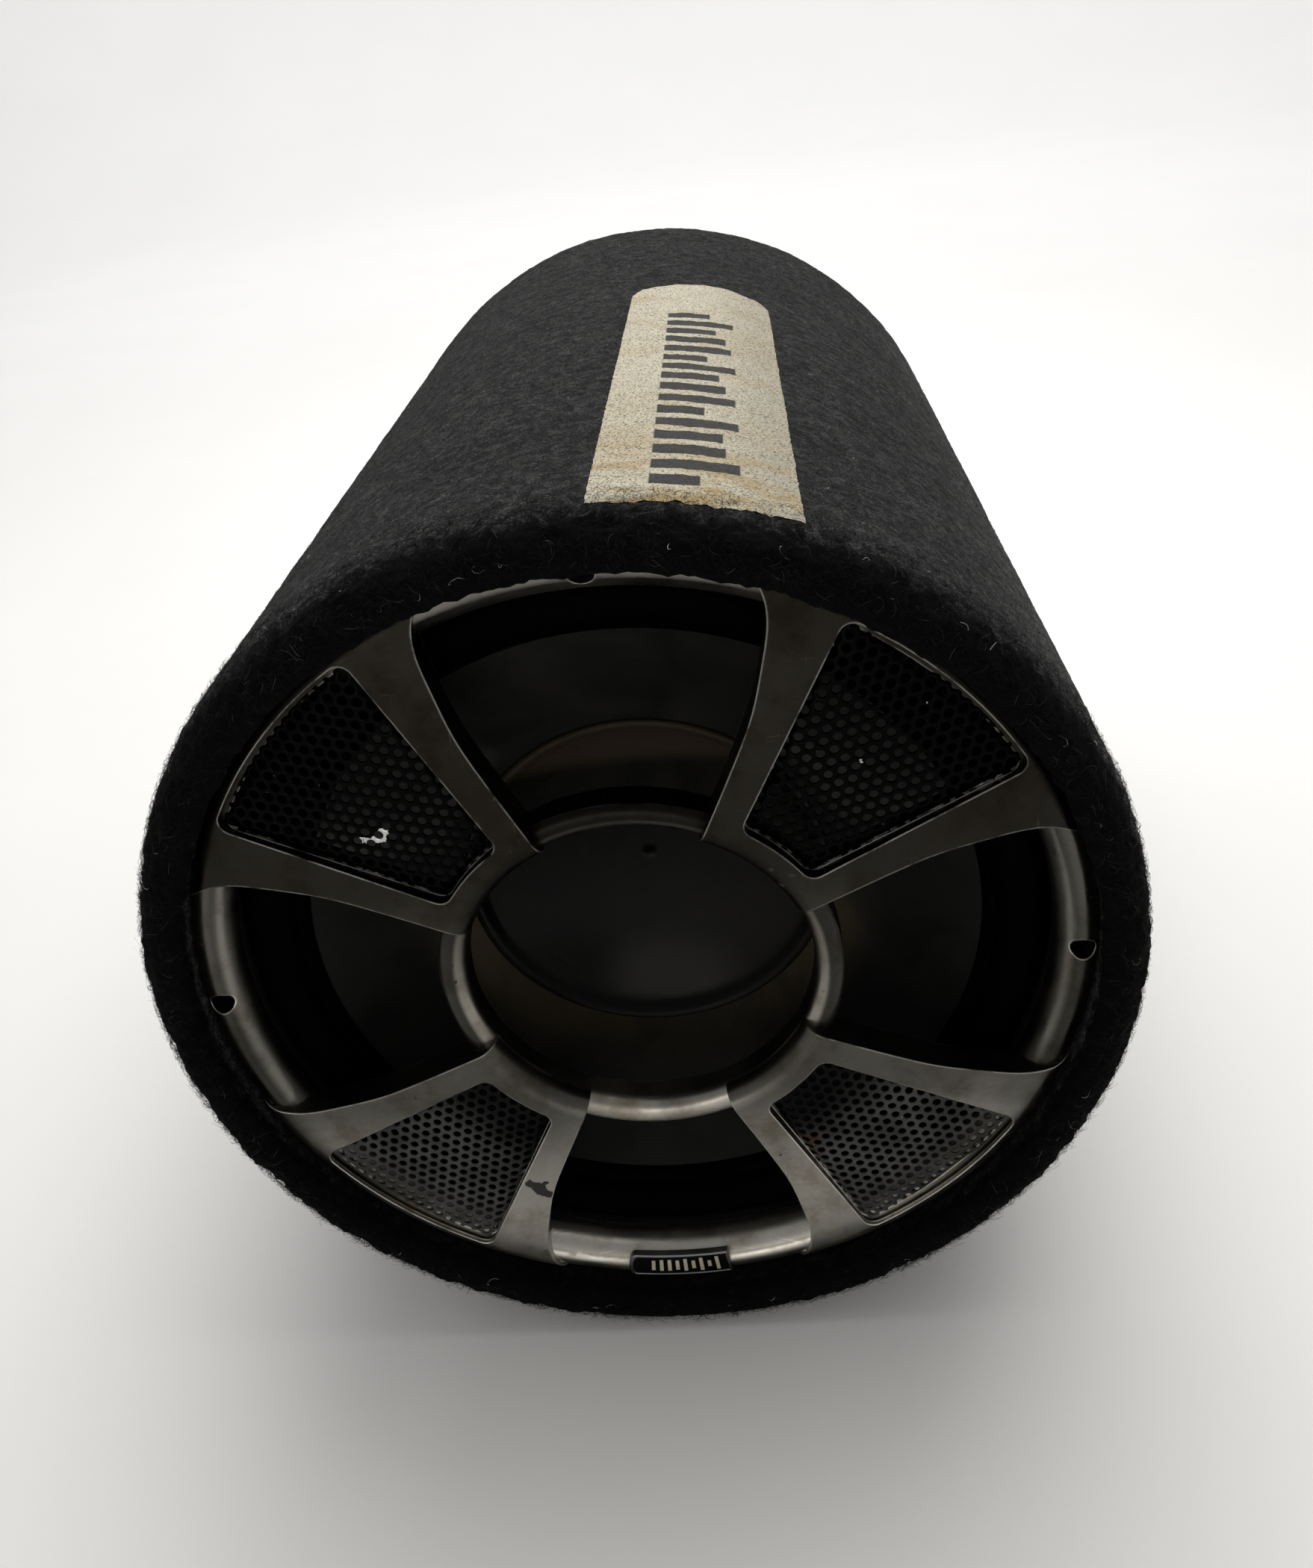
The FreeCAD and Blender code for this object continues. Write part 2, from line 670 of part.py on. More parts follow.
def terminal_cup():
    """Moulded cup: flange, recess, and a block with two wire holes and the lever cheeks."""
    face = REAR_PANEL_BACK + CARPET_T
    w, h, t = CUP_HALF_W, CUP_HALF_H, CUP_WALL
    flange = block(-46, 46, face + 0.05, face + 2.5, CUP_UP - 36, CUP_UP + 36)
    edges = [e for e in flange.Edges if abs(e.BoundBox.YLength - 2.45) < 1e-6]
    flange = flange.makeFillet(7.0, edges)
    shell = block(-w, w, CUP_FLOOR - t, face + 2.5, CUP_UP - h, CUP_UP + h)
    recess = block(t - w, w - t, CUP_FLOOR, 520, CUP_UP + t - h, CUP_UP + h - t)
    seat = block(-24, 24, CUP_FLOOR, 476, CUP_UP - 17, CUP_UP + 6)
    cheeks = []
    for x0, x1 in ((-24.0, -20.2), (-5.8, 5.8), (20.2, 24.0)):
        cheeks.append(block(x0, x1, 476, 484.5, CUP_UP - 2, CUP_UP + 6))
    cuts = [rod(1.9, 467.5, 500, x, CUP_UP - 7.0) for x in (-LEVER_X, LEVER_X)]
    pin_hole = Part.makeCylinder(
        PIVOT_R + 0.02, 60, V(-30, FRONT_Y + PIVOT_DEPTH, AXIS_Z + CUP_UP + PIVOT_UP), V(1, 0, 0)
    )
    for x in (-LEVER_X, LEVER_X):
        cuts.append(block(x - 3.05, x + 3.05, 440, 473, CUP_UP - 13.45, CUP_UP - 12.55))
    cuts += [rod(1.7, 480, 500, x, up) for x, up in cup_screw_places()]
    body = flange.fuse(shell).cut(recess)
    return fuse([body, seat] + cheeks).cut(cuts + [pin_hole])


def cup_contact(x):
    """Brass strip through the cup's floor, a solder tab behind and a clamp inside."""
    return block(x - 3.0, x + 3.0, 452, 473, CUP_UP - 13.4, CUP_UP - 12.6)


def cup_screw(x, up):
    face = REAR_PANEL_BACK + CARPET_T + 2.5
    head = Part.makeCone(2.9, 1.9, 1.8, V(x, FRONT_Y + face, AXIS_Z + up), V(0, 1, 0))
    shank = rod(1.5, face - 14, face, x, up)
    slot = block(x - 2.0, x + 2.0, face + 1.0, face + 3, up - 0.35, up + 0.35)
    return head.fuse(shank).removeSplitter().cut(slot)


def lever_pin():
    pivot = V(-23.8, FRONT_Y + PIVOT_DEPTH, AXIS_Z + CUP_UP + PIVOT_UP)
    return Part.makeCylinder(PIVOT_R - 0.02, 47.6, pivot, V(1, 0, 0))


def push_lever(x):
    """Spring lever of a push terminal: barrel on the pin, and a ribbed thumb tab."""
    half, barrel_r, reach = 7.0, 2.6, 15.0
    up = CUP_UP + PIVOT_UP
    barrel = Part.makeCylinder(
        barrel_r, 2 * half, V(x - half, FRONT_Y + PIVOT_DEPTH, AXIS_Z + up), V(1, 0, 0)
    )
    tab = block(x - half, x + half, PIVOT_DEPTH - 0.2, PIVOT_DEPTH + 2.6, up, up + reach)
    ribs = []
    for i in range(3):
        top = up + reach - 2.0 - 2.6 * i
        ribs.append(block(x - 5, x + 5, PIVOT_DEPTH + 2.5, PIVOT_DEPTH + 3.2, top - 1.0, top))
    body = fuse([barrel, tab] + ribs)
    body.rotate(V(x, FRONT_Y + PIVOT_DEPTH, AXIS_Z + up), V(1, 0, 0), -40)
    bore = Part.makeCylinder(
        PIVOT_R + 0.02, 2 * half + 2, V(x - half - 1, FRONT_Y + PIVOT_DEPTH, AXIS_Z + up), V(1, 0, 0)
    )
    return body.cut(bore)


def internal_wire(side):
    """Insulated wire from a tab of the cup to a lug of the driver's strip."""
    start = V(side * LEVER_X, FRONT_Y + 450.4, AXIS_Z + CUP_UP - 13)
    points = [
        start,
        V(side * 15.0, FRONT_Y + 425, AXIS_Z - 112),
        V(side * 22.0, FRONT_Y + 330, AXIS_Z - 122),
        V(side * 20.0, FRONT_Y + 220, AXIS_Z - 116),
        V(side * 23.0, FRONT_Y + 130, AXIS_Z - 124),
        V(side * 22.0, FRONT_Y + 95.0, AXIS_Z - 112.5),
    ]
    return bent_rod(1.4, points)


# ---------------------------------------------------------------- every node
def main():
    os.makedirs("parts", exist_ok=True)
    save("enclosure_tube", tube_body())
    save("carpet_wrap", carpet_wrap())
    save("front_baffle", front_baffle())
    save("rear_panel", rear_panel())
    save("rear_carpet", rear_carpet())
    save("damping_wadding", damping_wadding())
    save("carpet_label", carpet_label())

    save("grille_base", grille_base())
    cover = mesh_frame()
    insert = mesh_insert()
    for angle, place in zip(POD_ANGLES, POD_NAMES):
        save("mesh_frame_" + place, around(cover, angle))
        save("mesh_insert_" + place, around(insert, angle))
    save("grille_screws", Part.makeCompound(at_angles(grille_screw(), QUARTERS)))
    save("badge", badge())
    save("front_gasket", front_gasket())

    save("driver_basket", driver_basket())
    save("driver_screws", Part.makeCompound(at_angles(driver_screw(), EIGHTHS)))
    save("cone", cone())
    save("dust_cap", dust_cap())
    save("surround", surround())
    save("spider", spider())
    save("voice_coil_former", voice_coil_former())
    save("voice_coil_winding", voice_coil_winding())
    save("top_plate", top_plate())
    save("ring_magnet", ring_magnet())
    save("pole_and_back_plate", pole_and_back_plate())
    save("driver_terminal_strip", terminal_strip())
    save("tinsel_lead_left", tinsel_lead(-1))
    save("tinsel_lead_right", tinsel_lead(1))

    save("port_tube", port_tube())
    save("terminal_cup", terminal_cup())
    save("cup_contact_left", cup_contact(-LEVER_X))
    save("cup_contact_right", cup_contact(LEVER_X))
    cup_screws = [cup_screw(x, up) for x, up in cup_screw_places()]
    save("cup_screws", Part.makeCompound(cup_screws))
    save("lever_pin", lever_pin())
    save("push_lever_left", push_lever(-LEVER_X))
    save("push_lever_right", push_lever(LEVER_X))
    save("internal_wire_left", internal_wire(-1))
    save("internal_wire_right", internal_wire(1))


main()
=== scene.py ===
"""Looks of the carpeted bass tube: felt wrap, spoked grille with punched meshes, driver, rear fittings.

Everything is in metres in the CAD's frame: +Z up, the tube along Y, its grille towards -Y.
Depth is the distance behind a plane 3 mm ahead of the carpet lip; radii are about the tube's axis.
"""

from math import atan2, cos, dist, hypot, pi, radians, sin, sqrt

import bmesh
import bpy
import numpy as np
from mathutils import Matrix, Vector, noise


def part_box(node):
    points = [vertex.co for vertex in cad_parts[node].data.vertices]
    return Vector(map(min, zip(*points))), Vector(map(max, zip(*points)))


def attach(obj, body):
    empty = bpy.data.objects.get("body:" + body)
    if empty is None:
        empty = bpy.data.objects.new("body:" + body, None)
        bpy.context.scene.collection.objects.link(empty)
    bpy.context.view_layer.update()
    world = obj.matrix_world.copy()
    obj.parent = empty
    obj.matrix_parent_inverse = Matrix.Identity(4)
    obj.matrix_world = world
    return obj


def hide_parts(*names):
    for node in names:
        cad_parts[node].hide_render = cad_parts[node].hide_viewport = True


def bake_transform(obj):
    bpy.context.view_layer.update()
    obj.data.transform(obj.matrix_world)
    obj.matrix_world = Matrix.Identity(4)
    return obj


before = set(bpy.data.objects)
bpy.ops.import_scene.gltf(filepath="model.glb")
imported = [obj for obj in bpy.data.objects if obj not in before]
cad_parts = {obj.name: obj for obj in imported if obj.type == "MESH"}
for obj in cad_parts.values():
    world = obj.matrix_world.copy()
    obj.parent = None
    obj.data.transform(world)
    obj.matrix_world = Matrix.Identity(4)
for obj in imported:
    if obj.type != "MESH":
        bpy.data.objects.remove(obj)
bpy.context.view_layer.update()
MM = 0.001
RNG = np.random.default_rng(7)

wrap_low, wrap_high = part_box("carpet_wrap")
LIP_FRONT = 3 * MM
FRONT = wrap_low.y - LIP_FRONT
LENGTH = wrap_high.y - FRONT
OUTER_R = (wrap_high.x - wrap_low.x) / 2
AXIS_Z = wrap_high.z - OUTER_R
POD_ANGLES = {"upper_right": 45, "upper_left": 135, "lower_left": 225, "lower_right": 315}
BODY = "enclosure"
CONE = "cone_assembly"

# the lip's rounded front: where its crown lies, and its reach to the outer side
CROWN_R, LIP_DEPTH, LIP_RISE = OUTER_R - 10 * MM, 24 * MM, 21 * MM
# the label: its turn to the right of the top in degrees, half width, and the ends of its straight part
LABEL_TURN, LABEL_HALF, LABEL_FRONT, LABEL_BACK = 11.8, 32 * MM, 18 * MM, 295 * MM
# the rear felt's cut-outs: the port's height over the axis and radius, the cup's height and half sizes
PORT_UP, PORT_HOLE, CUP_UP, CUP_HALF = 58 * MM, 57 * MM, -92 * MM, (37 * MM, 27 * MM)


def put(name, data):
    """New object in the scene."""
    thing = bpy.data.objects.new(name, data)
    bpy.context.scene.collection.objects.link(thing)
    return thing


# ---------------------------------------------------------------- camera, light and floor
def place_camera():
    """Camera in front, above and a little to the right, looking down along the tube."""
    data = bpy.data.cameras.new("camera")
    data.sensor_width = 36.0
    data.lens = 30.38
    camera = put("camera", data)
    right = Vector((0.99338, 0.03397, -0.10967))
    up = Vector((0.07601, 0.52134, 0.84996))
    back = right.cross(up)
    turn = Matrix((right, up, back)).transposed().to_4x4()
    camera.matrix_world = Matrix.Translation((0.05105, FRONT - 0.34571, AXIS_Z + 0.29877)) @ turn
    bpy.context.scene.camera = camera


def area_light(name, place, target, size, watts, colour=(1, 1, 1)):
    data = bpy.data.lights.new(name, "AREA")
    data.shape = "RECTANGLE"
    data.size, data.size_y = size
    data.energy = watts
    data.color = colour
    turn = (Vector(target) - Vector(place)).to_track_quat("-Z", "Y").to_matrix().to_4x4()
    put(name, data).matrix_world = Matrix.Translation(place) @ turn


def light_scene():
    """One large soft light over and behind the tube, one on the backdrop, a low weak one in front."""
    area_light("key_above", (0.15, 0.30, 1.55), (0.0, 0.05, 0.0), (1.5, 1.1), 17, (1.0, 0.99, 0.965))
    area_light("backdrop_light", (0.0, 2.6, 2.5), (0.0, 3.0, 0.0), (4.4, 2.6), 66)
    area_light("low_window", (-0.16, -1.15, 0.26), (0.0, -0.2, 0.15), (0.55, 0.34), 1.1, (1.0, 0.97, 0.90))
    world = bpy.data.worlds.new("studio")
    world.use_nodes = True
    world.node_tree.nodes["Background"].inputs["Color"].default_value = (1, 0.995, 0.985, 1)
    world.node_tree.nodes["Background"].inputs["Strength"].default_value = 0.30
    bpy.context.scene.world = world
    bpy.context.scene.view_settings.view_transform = "Standard"


def make_floor():
    """Round pale floor that sweeps up into a low wall."""
    profile = [(0.0, 0.0)] + [(r, 0.0) for r in (0.6, 1.2, 2.0, 2.8)]
    for angle in np.radians(np.linspace(-90, 0, 14))[1:]:
        profile.append((3.4 + 1.6 * cos(angle), 1.6 + 1.6 * sin(angle)))
    profile.append((5.0, 2.6))
    turn = np.linspace(0, 2 * pi, 96, endpoint=False)
    verts = [(r * cos(a), r * sin(a), z) for a in turn for r, z in profile]
    n = len(profile)
    faces = []
    for i in range(len(turn)):
        j = (i + 1) % len(turn)
        faces += [(i * n + k, j * n + k, j * n + k + 1, i * n + k + 1) for k in range(n - 1)]
    mesh = bpy.data.meshes.new("floor")
    mesh.from_pydata(verts, [], faces)
    mesh.polygons.foreach_set("use_smooth", [True] * len(mesh.polygons))
    floor = put("floor", mesh)
    paint = Paint("studio_floor", (0.93, 0.925, 0.915), roughness=0.85)
    mottle = paint.noise(3.0, 3)
    paint.colour(paint.ramp(mottle, [(0.3, (0.92, 0.915, 0.905)), (0.7, (0.94, 0.935, 0.925))]))
    mesh.materials.append(paint.material)


# ---------------------------------------------------------------- materials
def shade_of(colour, factor, lift=0.0):
    return tuple(min(1.0, factor * c + lift) for c in colour)


class Paint:
    """A Principled material and the few node patterns that its colour, gloss and relief come from."""

    def __init__(self, name, base, **settings):
        self.material = bpy.data.materials.new(name)
        self.material.use_nodes = True
        self.tree = self.material.node_tree
        self.bsdf = self.tree.nodes["Principled BSDF"]
        self.bsdf.inputs["Base Color"].default_value = (*base, 1)
        for key, value in settings.items():
            self.bsdf.inputs[key.replace("_", " ").title().replace("Ior", "IOR")].default_value = value
        self.where = self.add("ShaderNodeTexCoord").outputs["Object"]
        self.last_normal = None

    def add(self, kind, **properties):
        node = self.tree.nodes.new(kind)
        for key, value in properties.items():
            setattr(node, key, value)
        return node

    def feed(self, socket, value):
        if isinstance(value, bpy.types.NodeSocket):
            self.tree.links.new(value, socket)
        elif isinstance(value, tuple) and len(value) == 3 and socket.type == "RGBA":
            socket.default_value = (*value, 1)
        else:
            socket.default_value = value

    def noise(self, scale, detail=4.0, rough=0.55, distort=0.0, stretch=None):
        """Noise with scale cycles per metre; stretch multiplies the coordinates first."""
        where = self.vector("MULTIPLY", self.where, stretch) if stretch else self.where
        node = self.add("ShaderNodeTexNoise")
        self.feed(node.inputs["Vector"], where)
        for key, value in (
            ("Scale", scale), ("Detail", detail), ("Roughness", rough), ("Distortion", distort)
        ):
            node.inputs[key].default_value = value
        return node.outputs["Fac"]

    def cells(self, scale):
        """Distance from the nearest of a scatter of points, in cells."""
        node = self.add("ShaderNodeTexVoronoi", feature="F1")
        self.feed(node.inputs["Vector"], self.where)
        node.inputs["Scale"].default_value = scale
        return node.outputs["Distance"]

    def math(self, operation, a, b=0.0):
        node = self.add("ShaderNodeMath", operation=operation)
        self.feed(node.inputs[0], a)
        self.feed(node.inputs[1], b)
        return node.outputs[0]

    def plus(self, a, b):
        return self.math("ADD", a, b)

    def minus(self, a, b):
        return self.math("SUBTRACT", a, b)

    def larger(self, a, b):
        return self.math("MAXIMUM", a, b)

    def times(self, first, *others):
        for other in others:
            first = self.math("MULTIPLY", first, other)
        return first

    def near(self, x, up):
        """Distance in metres along the grille's plane from a place given in millimetres."""
        flat = self.vector("MULTIPLY", self.where, (1, 0, 1))
        return self.vector("DISTANCE", flat, (x * MM, 0, AXIS_Z + up * MM))

    def scaled(self, colour, factor):
        """Colour times a number that may vary over the surface."""
        tone = self.add("ShaderNodeCombineXYZ")
        for socket in tone.inputs:
            self.feed(socket, factor)
        return self.vector("MULTIPLY", colour, tone.outputs[0])

    def from_axis(self):
        """Offset to the side, height over the tube's axis and distance from it, in millimetres."""
        x, _, z = self.split(self.where)
        side, up = self.times(x, 1000), self.times(self.minus(z, AXIS_Z), 1000)
        return side, up, self.math("SQRT", self.plus(self.times(side, side), self.times(up, up)))

    def vector(self, operation, a, b):
        node = self.add("ShaderNodeVectorMath", operation=operation)
        self.feed(node.inputs[0], a)
        self.feed(node.inputs[1], b)
        return node.outputs["Value" if operation in ("DISTANCE", "DOT_PRODUCT") else "Vector"]

    def split(self, vector):
        node = self.add("ShaderNodeSeparateXYZ")
        self.feed(node.inputs[0], vector)
        return node.outputs

    def attribute(self, name):
        return self.add("ShaderNodeAttribute", attribute_name=name).outputs["Fac"]

    def band(self, value, low, high, to_low=0.0, to_high=1.0):
        """Smooth step of value from low to high."""
        node = self.add("ShaderNodeMapRange", interpolation_type="SMOOTHSTEP")
        for key, item in (
            ("Value", value), ("From Min", low), ("From Max", high), ("To Min", to_low), ("To Max", to_high)
        ):
            self.feed(node.inputs[key], item)
        return node.outputs["Result"]

    def ramp(self, value, stops):
        node = self.add("ShaderNodeValToRGB")
        self.feed(node.inputs["Fac"], value)
        elements = node.color_ramp.elements
        while len(elements) < len(stops):
            elements.new(0.5)
        for element, (place, colour) in zip(elements, stops):
            element.position = place
            element.color = (*colour, 1)
        return node.outputs["Color"]

    def mix(self, amount, a, b):
        node = self.add("ShaderNodeMix", data_type="RGBA")
        self.feed(node.inputs["Factor"], amount)
        self.feed(node.inputs["A"], a)
        self.feed(node.inputs["B"], b)
        return node.outputs["Result"]

    def colour(self, value):
        self.feed(self.bsdf.inputs["Base Color"], value)

    def roughness(self, value):
        self.feed(self.bsdf.inputs["Roughness"], value)

    def metallic(self, value):
        self.feed(self.bsdf.inputs["Metallic"], value)

    def bump(self, height, distance, strength=1.0):
        """Relief of this depth in metres, added to any relief made before."""
        node = self.add("ShaderNodeBump")
        node.inputs["Strength"].default_value = strength
        node.inputs["Distance"].default_value = distance
        self.feed(node.inputs["Height"], height)
        if self.last_normal:
            self.feed(node.inputs["Normal"], self.last_normal)
        self.last_normal = node.outputs["Normal"]
        self.feed(self.bsdf.inputs["Normal"], self.last_normal)

    def soft_edges(self, radius):
        """Rounds the light on sharp edges, and returns a mask that is 1 on them."""
        node = self.add("ShaderNodeBevel", samples=6)
        node.inputs["Radius"].default_value = radius
        self.last_normal = node.outputs["Normal"]
        self.feed(self.bsdf.inputs["Normal"], self.last_normal)
        wide = self.add("ShaderNodeBevel", samples=6)
        wide.inputs["Radius"].default_value = radius * 1.6
        true_normal = self.add("ShaderNodeNewGeometry").outputs["Normal"]
        flat = self.vector("DOT_PRODUCT", wide.outputs["Normal"], true_normal)
        return self.band(flat, 0.96, 0.84)


def felt_paint():
    """Black needle felt: matted fibres, greyed by dust and painted light above; painted shade makes it near
    black on the lip and darker towards the bottom, and painted light pales its flanks.
    """
    paint = Paint("felt", (0.01,) * 3, roughness=0.95, specular_ior_level=0.08)
    x, y, z = paint.split(paint.where)
    fibres = paint.noise(1300, 5, 0.72, 0.6)
    clumps = paint.noise(210, 4, 0.62, 0.8)
    patches = paint.noise(16, 4, 0.6)
    shade = paint.plus(paint.times(fibres, 0.68), paint.times(clumps, 0.32))
    # painted light and shade: the paler dusty tone stands for the felt in light, the near black deep tone
    # for the felt in shade
    dusty_lit_felt = paint.ramp(shade, [(0.39, (0.0040,) * 3), (0.51, (0.020,) * 3), (0.63, (0.105,) * 3)])
    deep = paint.ramp(shade, [(0.42, (0.0003,) * 3), (0.55, (0.0013,) * 3), (0.68, (0.009,) * 3)])
    ragged = paint.times(paint.minus(clumps, 0.5), 16 * MM)
    # the shaded tone goes on the lip and low down, the lit dusty tone on the upper side, broken by patches
    # of dust
    side = paint.band(paint.plus(y, ragged), FRONT + 9 * MM, FRONT + 18 * MM)
    height = paint.band(paint.plus(z, paint.times(patches, 60 * MM)),
                        AXIS_Z - 150 * MM, AXIS_Z + 110 * MM, 0.15, 1.0)
    dust = paint.times(side, height, paint.band(patches, 0.2, 0.7, 0.75, 1.0))
    # painted light: the flanks are made up to twice as pale
    flank = paint.band(paint.math("ABSOLUTE", x), 115 * MM, 168 * MM, 1.0, 2.0)
    base = paint.mix(dust, deep, paint.scaled(dusty_lit_felt, flank))
    flecks = paint.band(paint.cells(260), 0.05, 0.03)
    keep = paint.band(paint.noise(55, 2), 0.60, 0.66)
    amount = paint.times(flecks, keep, paint.band(dust, 0.1, 0.6, 0.2, 0.9))
    paint.colour(paint.mix(amount, base, (0.26, 0.26, 0.255)))
    paint.bump(clumps, 0.8 * MM, 0.7)
    paint.bump(fibres, 0.5 * MM, 0.9)
    return paint.material


def fibre_paint(name, colour):
    paint = Paint(name, colour, roughness=0.85, specular_ior_level=0.15)
    tone = paint.noise(90, 2)
    paint.colour(paint.ramp(tone, [(0.35, shade_of(colour, 0.5)), (0.7, shade_of(colour, 1.8, 0.001))]))
    return paint.material


def gunmetal_paint(name, on_base):
    """Satin metallic paint on plastic, tarnished in patches, black plastic showing in the chips, with
    painted light: paler towards the bottom, and painted highlights on the ring, the hub and the bare edges.

    on_base is 1 for the grille's base, which carries the ring and the hub, and 0 for the mesh frames.
    """
    paint = Paint(name, (0.07, 0.066, 0.058), metallic=1.0, roughness=0.33)
    edge = paint.soft_edges(0.8 * MM)
    side, up, r = paint.from_axis()
    wear = paint.noise(42, 6, 0.68)
    smear = paint.noise(13, 4, 0.62, 0.9)
    # painted light: a dark tone high up, a middle one, and a pale one at the bottom, standing for the
    # brighter reflections low on the grille
    high = paint.ramp(smear, [(0.3, (0.0150, 0.0130, 0.0098)), (0.7, (0.0240, 0.0222, 0.0190))])
    middle = paint.ramp(smear, [(0.3, (0.074, 0.069, 0.059)), (0.7, (0.112, 0.108, 0.098))])
    low = paint.ramp(smear, [(0.3, (0.44, 0.42, 0.375)), (0.7, (0.60, 0.58, 0.53))])
    drop = paint.plus(up, paint.times(smear, 70))
    base = paint.mix(paint.band(drop, 90, 15), high, middle)
    base = paint.mix(paint.band(drop, -15, -80), base, low)

    # the rounded ring round the driver: a painted highlight as a pale ridge on its inner side, on its sides
    # and on its top, paler where it is lowest
    ridge = paint.times(paint.band(r, 145.2, 146.8), paint.band(r, 151.5, 148.5))
    fall = paint.plus(paint.band(up, 30, -30, 1.0, 0.45), paint.band(up, -40, -80, 0.0, 0.8))
    flank = paint.scaled(paint.mix(ridge, (0.088, 0.084, 0.072), (0.40, 0.385, 0.34)), fall)
    tone = paint.mix(paint.band(up, 60, 100), flank, (0.17, 0.162, 0.145))
    at_top = paint.times(paint.band(paint.math("ABSOLUTE", side), 84, 76), paint.band(up, 60, 100))
    beside = paint.times(paint.band(up, 66, 50), paint.band(up, -125, -90))
    on_ring = paint.times(paint.plus(at_top, beside), paint.band(r, 143, 147), on_base)
    base = paint.mix(on_ring, base, tone)

    # the hub: painted shade over its upper part with a painted highlight as a pale bead on its inner edge,
    # and painted light over all of it where it is lowest
    bead = paint.times(paint.band(r, 61.8, 63.2), paint.band(r, 67.2, 65.2))
    upper_hub = paint.plus(0.55, paint.times(bead, 2.7))
    lower_hub = paint.band(up, -40, -62)
    hub = paint.plus(paint.times(paint.minus(1.0, lower_hub), upper_hub),
                     paint.times(lower_hub, 2.6))
    on_hub = paint.times(paint.band(r, 74, 72), on_base)
    base = paint.scaled(base, paint.plus(1.0, paint.times(on_hub, paint.minus(hub, 1.0))))

    # wear: tarnish in patches, bare edges that are also a painted edge highlight, scratches and chips
    tarnished = paint.vector("MULTIPLY", base, (0.60, 0.55, 0.47))
    base = paint.mix(paint.band(wear, 0.45, 0.68, 0, 0.85), base, tarnished)
    worn_highlit_edge = paint.times(edge, paint.band(paint.noise(60, 4, 0.6), 0.34, 0.52))
    rubbed_and_highlit = paint.vector("ADD", paint.scaled(base, 1.6), (0.38, 0.375, 0.355))
    rubbed_and_highlit = paint.vector("MINIMUM", rubbed_and_highlit, (0.90, 0.89, 0.86))
    base = paint.mix(paint.times(worn_highlit_edge, 0.9), base, rubbed_and_highlit)
    scratch = paint.noise(55, 2, 0.5, 0.4, stretch=(1, 1, 22))
    scratch_b = paint.noise(48, 2, 0.5, 0.4, stretch=(19, 1, 1.3))
    lines = paint.larger(paint.band(scratch, 0.70, 0.73), paint.band(scratch_b, 0.71, 0.74))
    lines = paint.times(lines, paint.band(paint.noise(16, 2), 0.45, 0.6))
    lighter = paint.vector("ADD", paint.scaled(base, 1.5), (0.03, 0.029, 0.027))
    base = paint.mix(paint.times(lines, 0.5), base, lighter)
    chips = paint.band(paint.noise(170, 3, 0.5), 0.745, 0.752)
    ragged = paint.times(paint.noise(300, 4, 0.6), 5 * MM)
    for place_x, place_up, size in CHIPS:
        edge_at = paint.plus(paint.near(place_x, place_up), ragged)
        spot = paint.band(edge_at, (size + 2.65) * MM, (size + 2.4) * MM)
        chips = paint.larger(chips, spot)
    base = paint.mix(chips, base, (0.006, 0.0055, 0.005))
    paint.colour(base)
    paint.metallic(paint.minus(1.0, chips))
    gloss = paint.band(wear, 0.35, 0.7, 0.27, 0.46)
    paint.roughness(paint.plus(gloss, paint.times(chips, 0.25)))
    paint.bump(paint.noise(2600, 2, 0.5), 0.03 * MM, 0.4)
    paint.bump(chips, -0.15 * MM, 0.8)
    return paint.material


# chips in the grille's paint: (x, height over the axis, size), in millimetres
CHIPS = [
    (-51.5, -99.5, 3.4), (-49.0, -102.5, 2.4), (-54.8, -97.0, 2.2), (-48.6, -96.5, 1.7),
    (56.0, 43.0, 0.9), (52.0, 38.5, 0.7), (58.0, 36.0, 0.6), (49.0, 46.0, 0.6), (61.0, 31.0, 0.5),
    (66.0, 26.0, 1.0), (69.5, -3.0, 0.7), (-67.0, 10.0, 0.6), (-66.0, 3.0, 0.5), (-66.5, 6.5, 0.3),
    (64.0, -12.0, 0.5), (88.0, -62.0, 0.8), (92.0, -60.0, 0.6), (66.0, -92.0, 0.7),
]


def plastic_paint(name, colour, gloss, grain, depth, wear=0.5, **settings):
    """Moulded plastic: fine grain, faint handling marks, and dust in a broad pattern."""
    paint = Paint(name, colour, roughness=gloss, **settings)
    edge = paint.soft_edges(0.5 * MM)
    marks = paint.noise(30, 5, 0.6)
    base = paint.ramp(marks, [(0.32, shade_of(colour, 0.8)), (0.7, shade_of(colour, 1.45, 0.003))])
    base = paint.mix(paint.times(edge, 0.35 * wear), base, shade_of(colour, 3, 0.03))
    paint.colour(base)
    paint.roughness(paint.band(marks, 0.3, 0.75, gloss - 0.07, gloss + 0.12))
    paint.bump(paint.noise(grain, 2, 0.5), depth * MM, 0.5)
    return paint.material


def metal_paint(name, colour, gloss=0.3, spots=0.0):
    paint = Paint(name, colour, metallic=1.0, roughness=gloss)
    edge = paint.soft_edges(0.3 * MM)
    tone = paint.noise(70, 4, 0.6)
    base = paint.ramp(tone, [(0.3, shade_of(colour, 0.75)), (0.7, colour)])
    base = paint.mix(paint.times(edge, 0.4), base, shade_of(colour, 1.6, 0.03))
    if spots:
        base = paint.mix(paint.band(paint.noise(180, 4), 0.62, 0.7, 0, spots), base, (0.18, 0.08, 0.03))
    paint.colour(base)
    paint.roughness(paint.band(tone, 0.3, 0.7, gloss - 0.06, gloss + 0.15))
    paint.bump(paint.noise(900, 2, 0.5, stretch=(1, 6, 1)), 0.02 * MM, 0.5)
    return paint.material


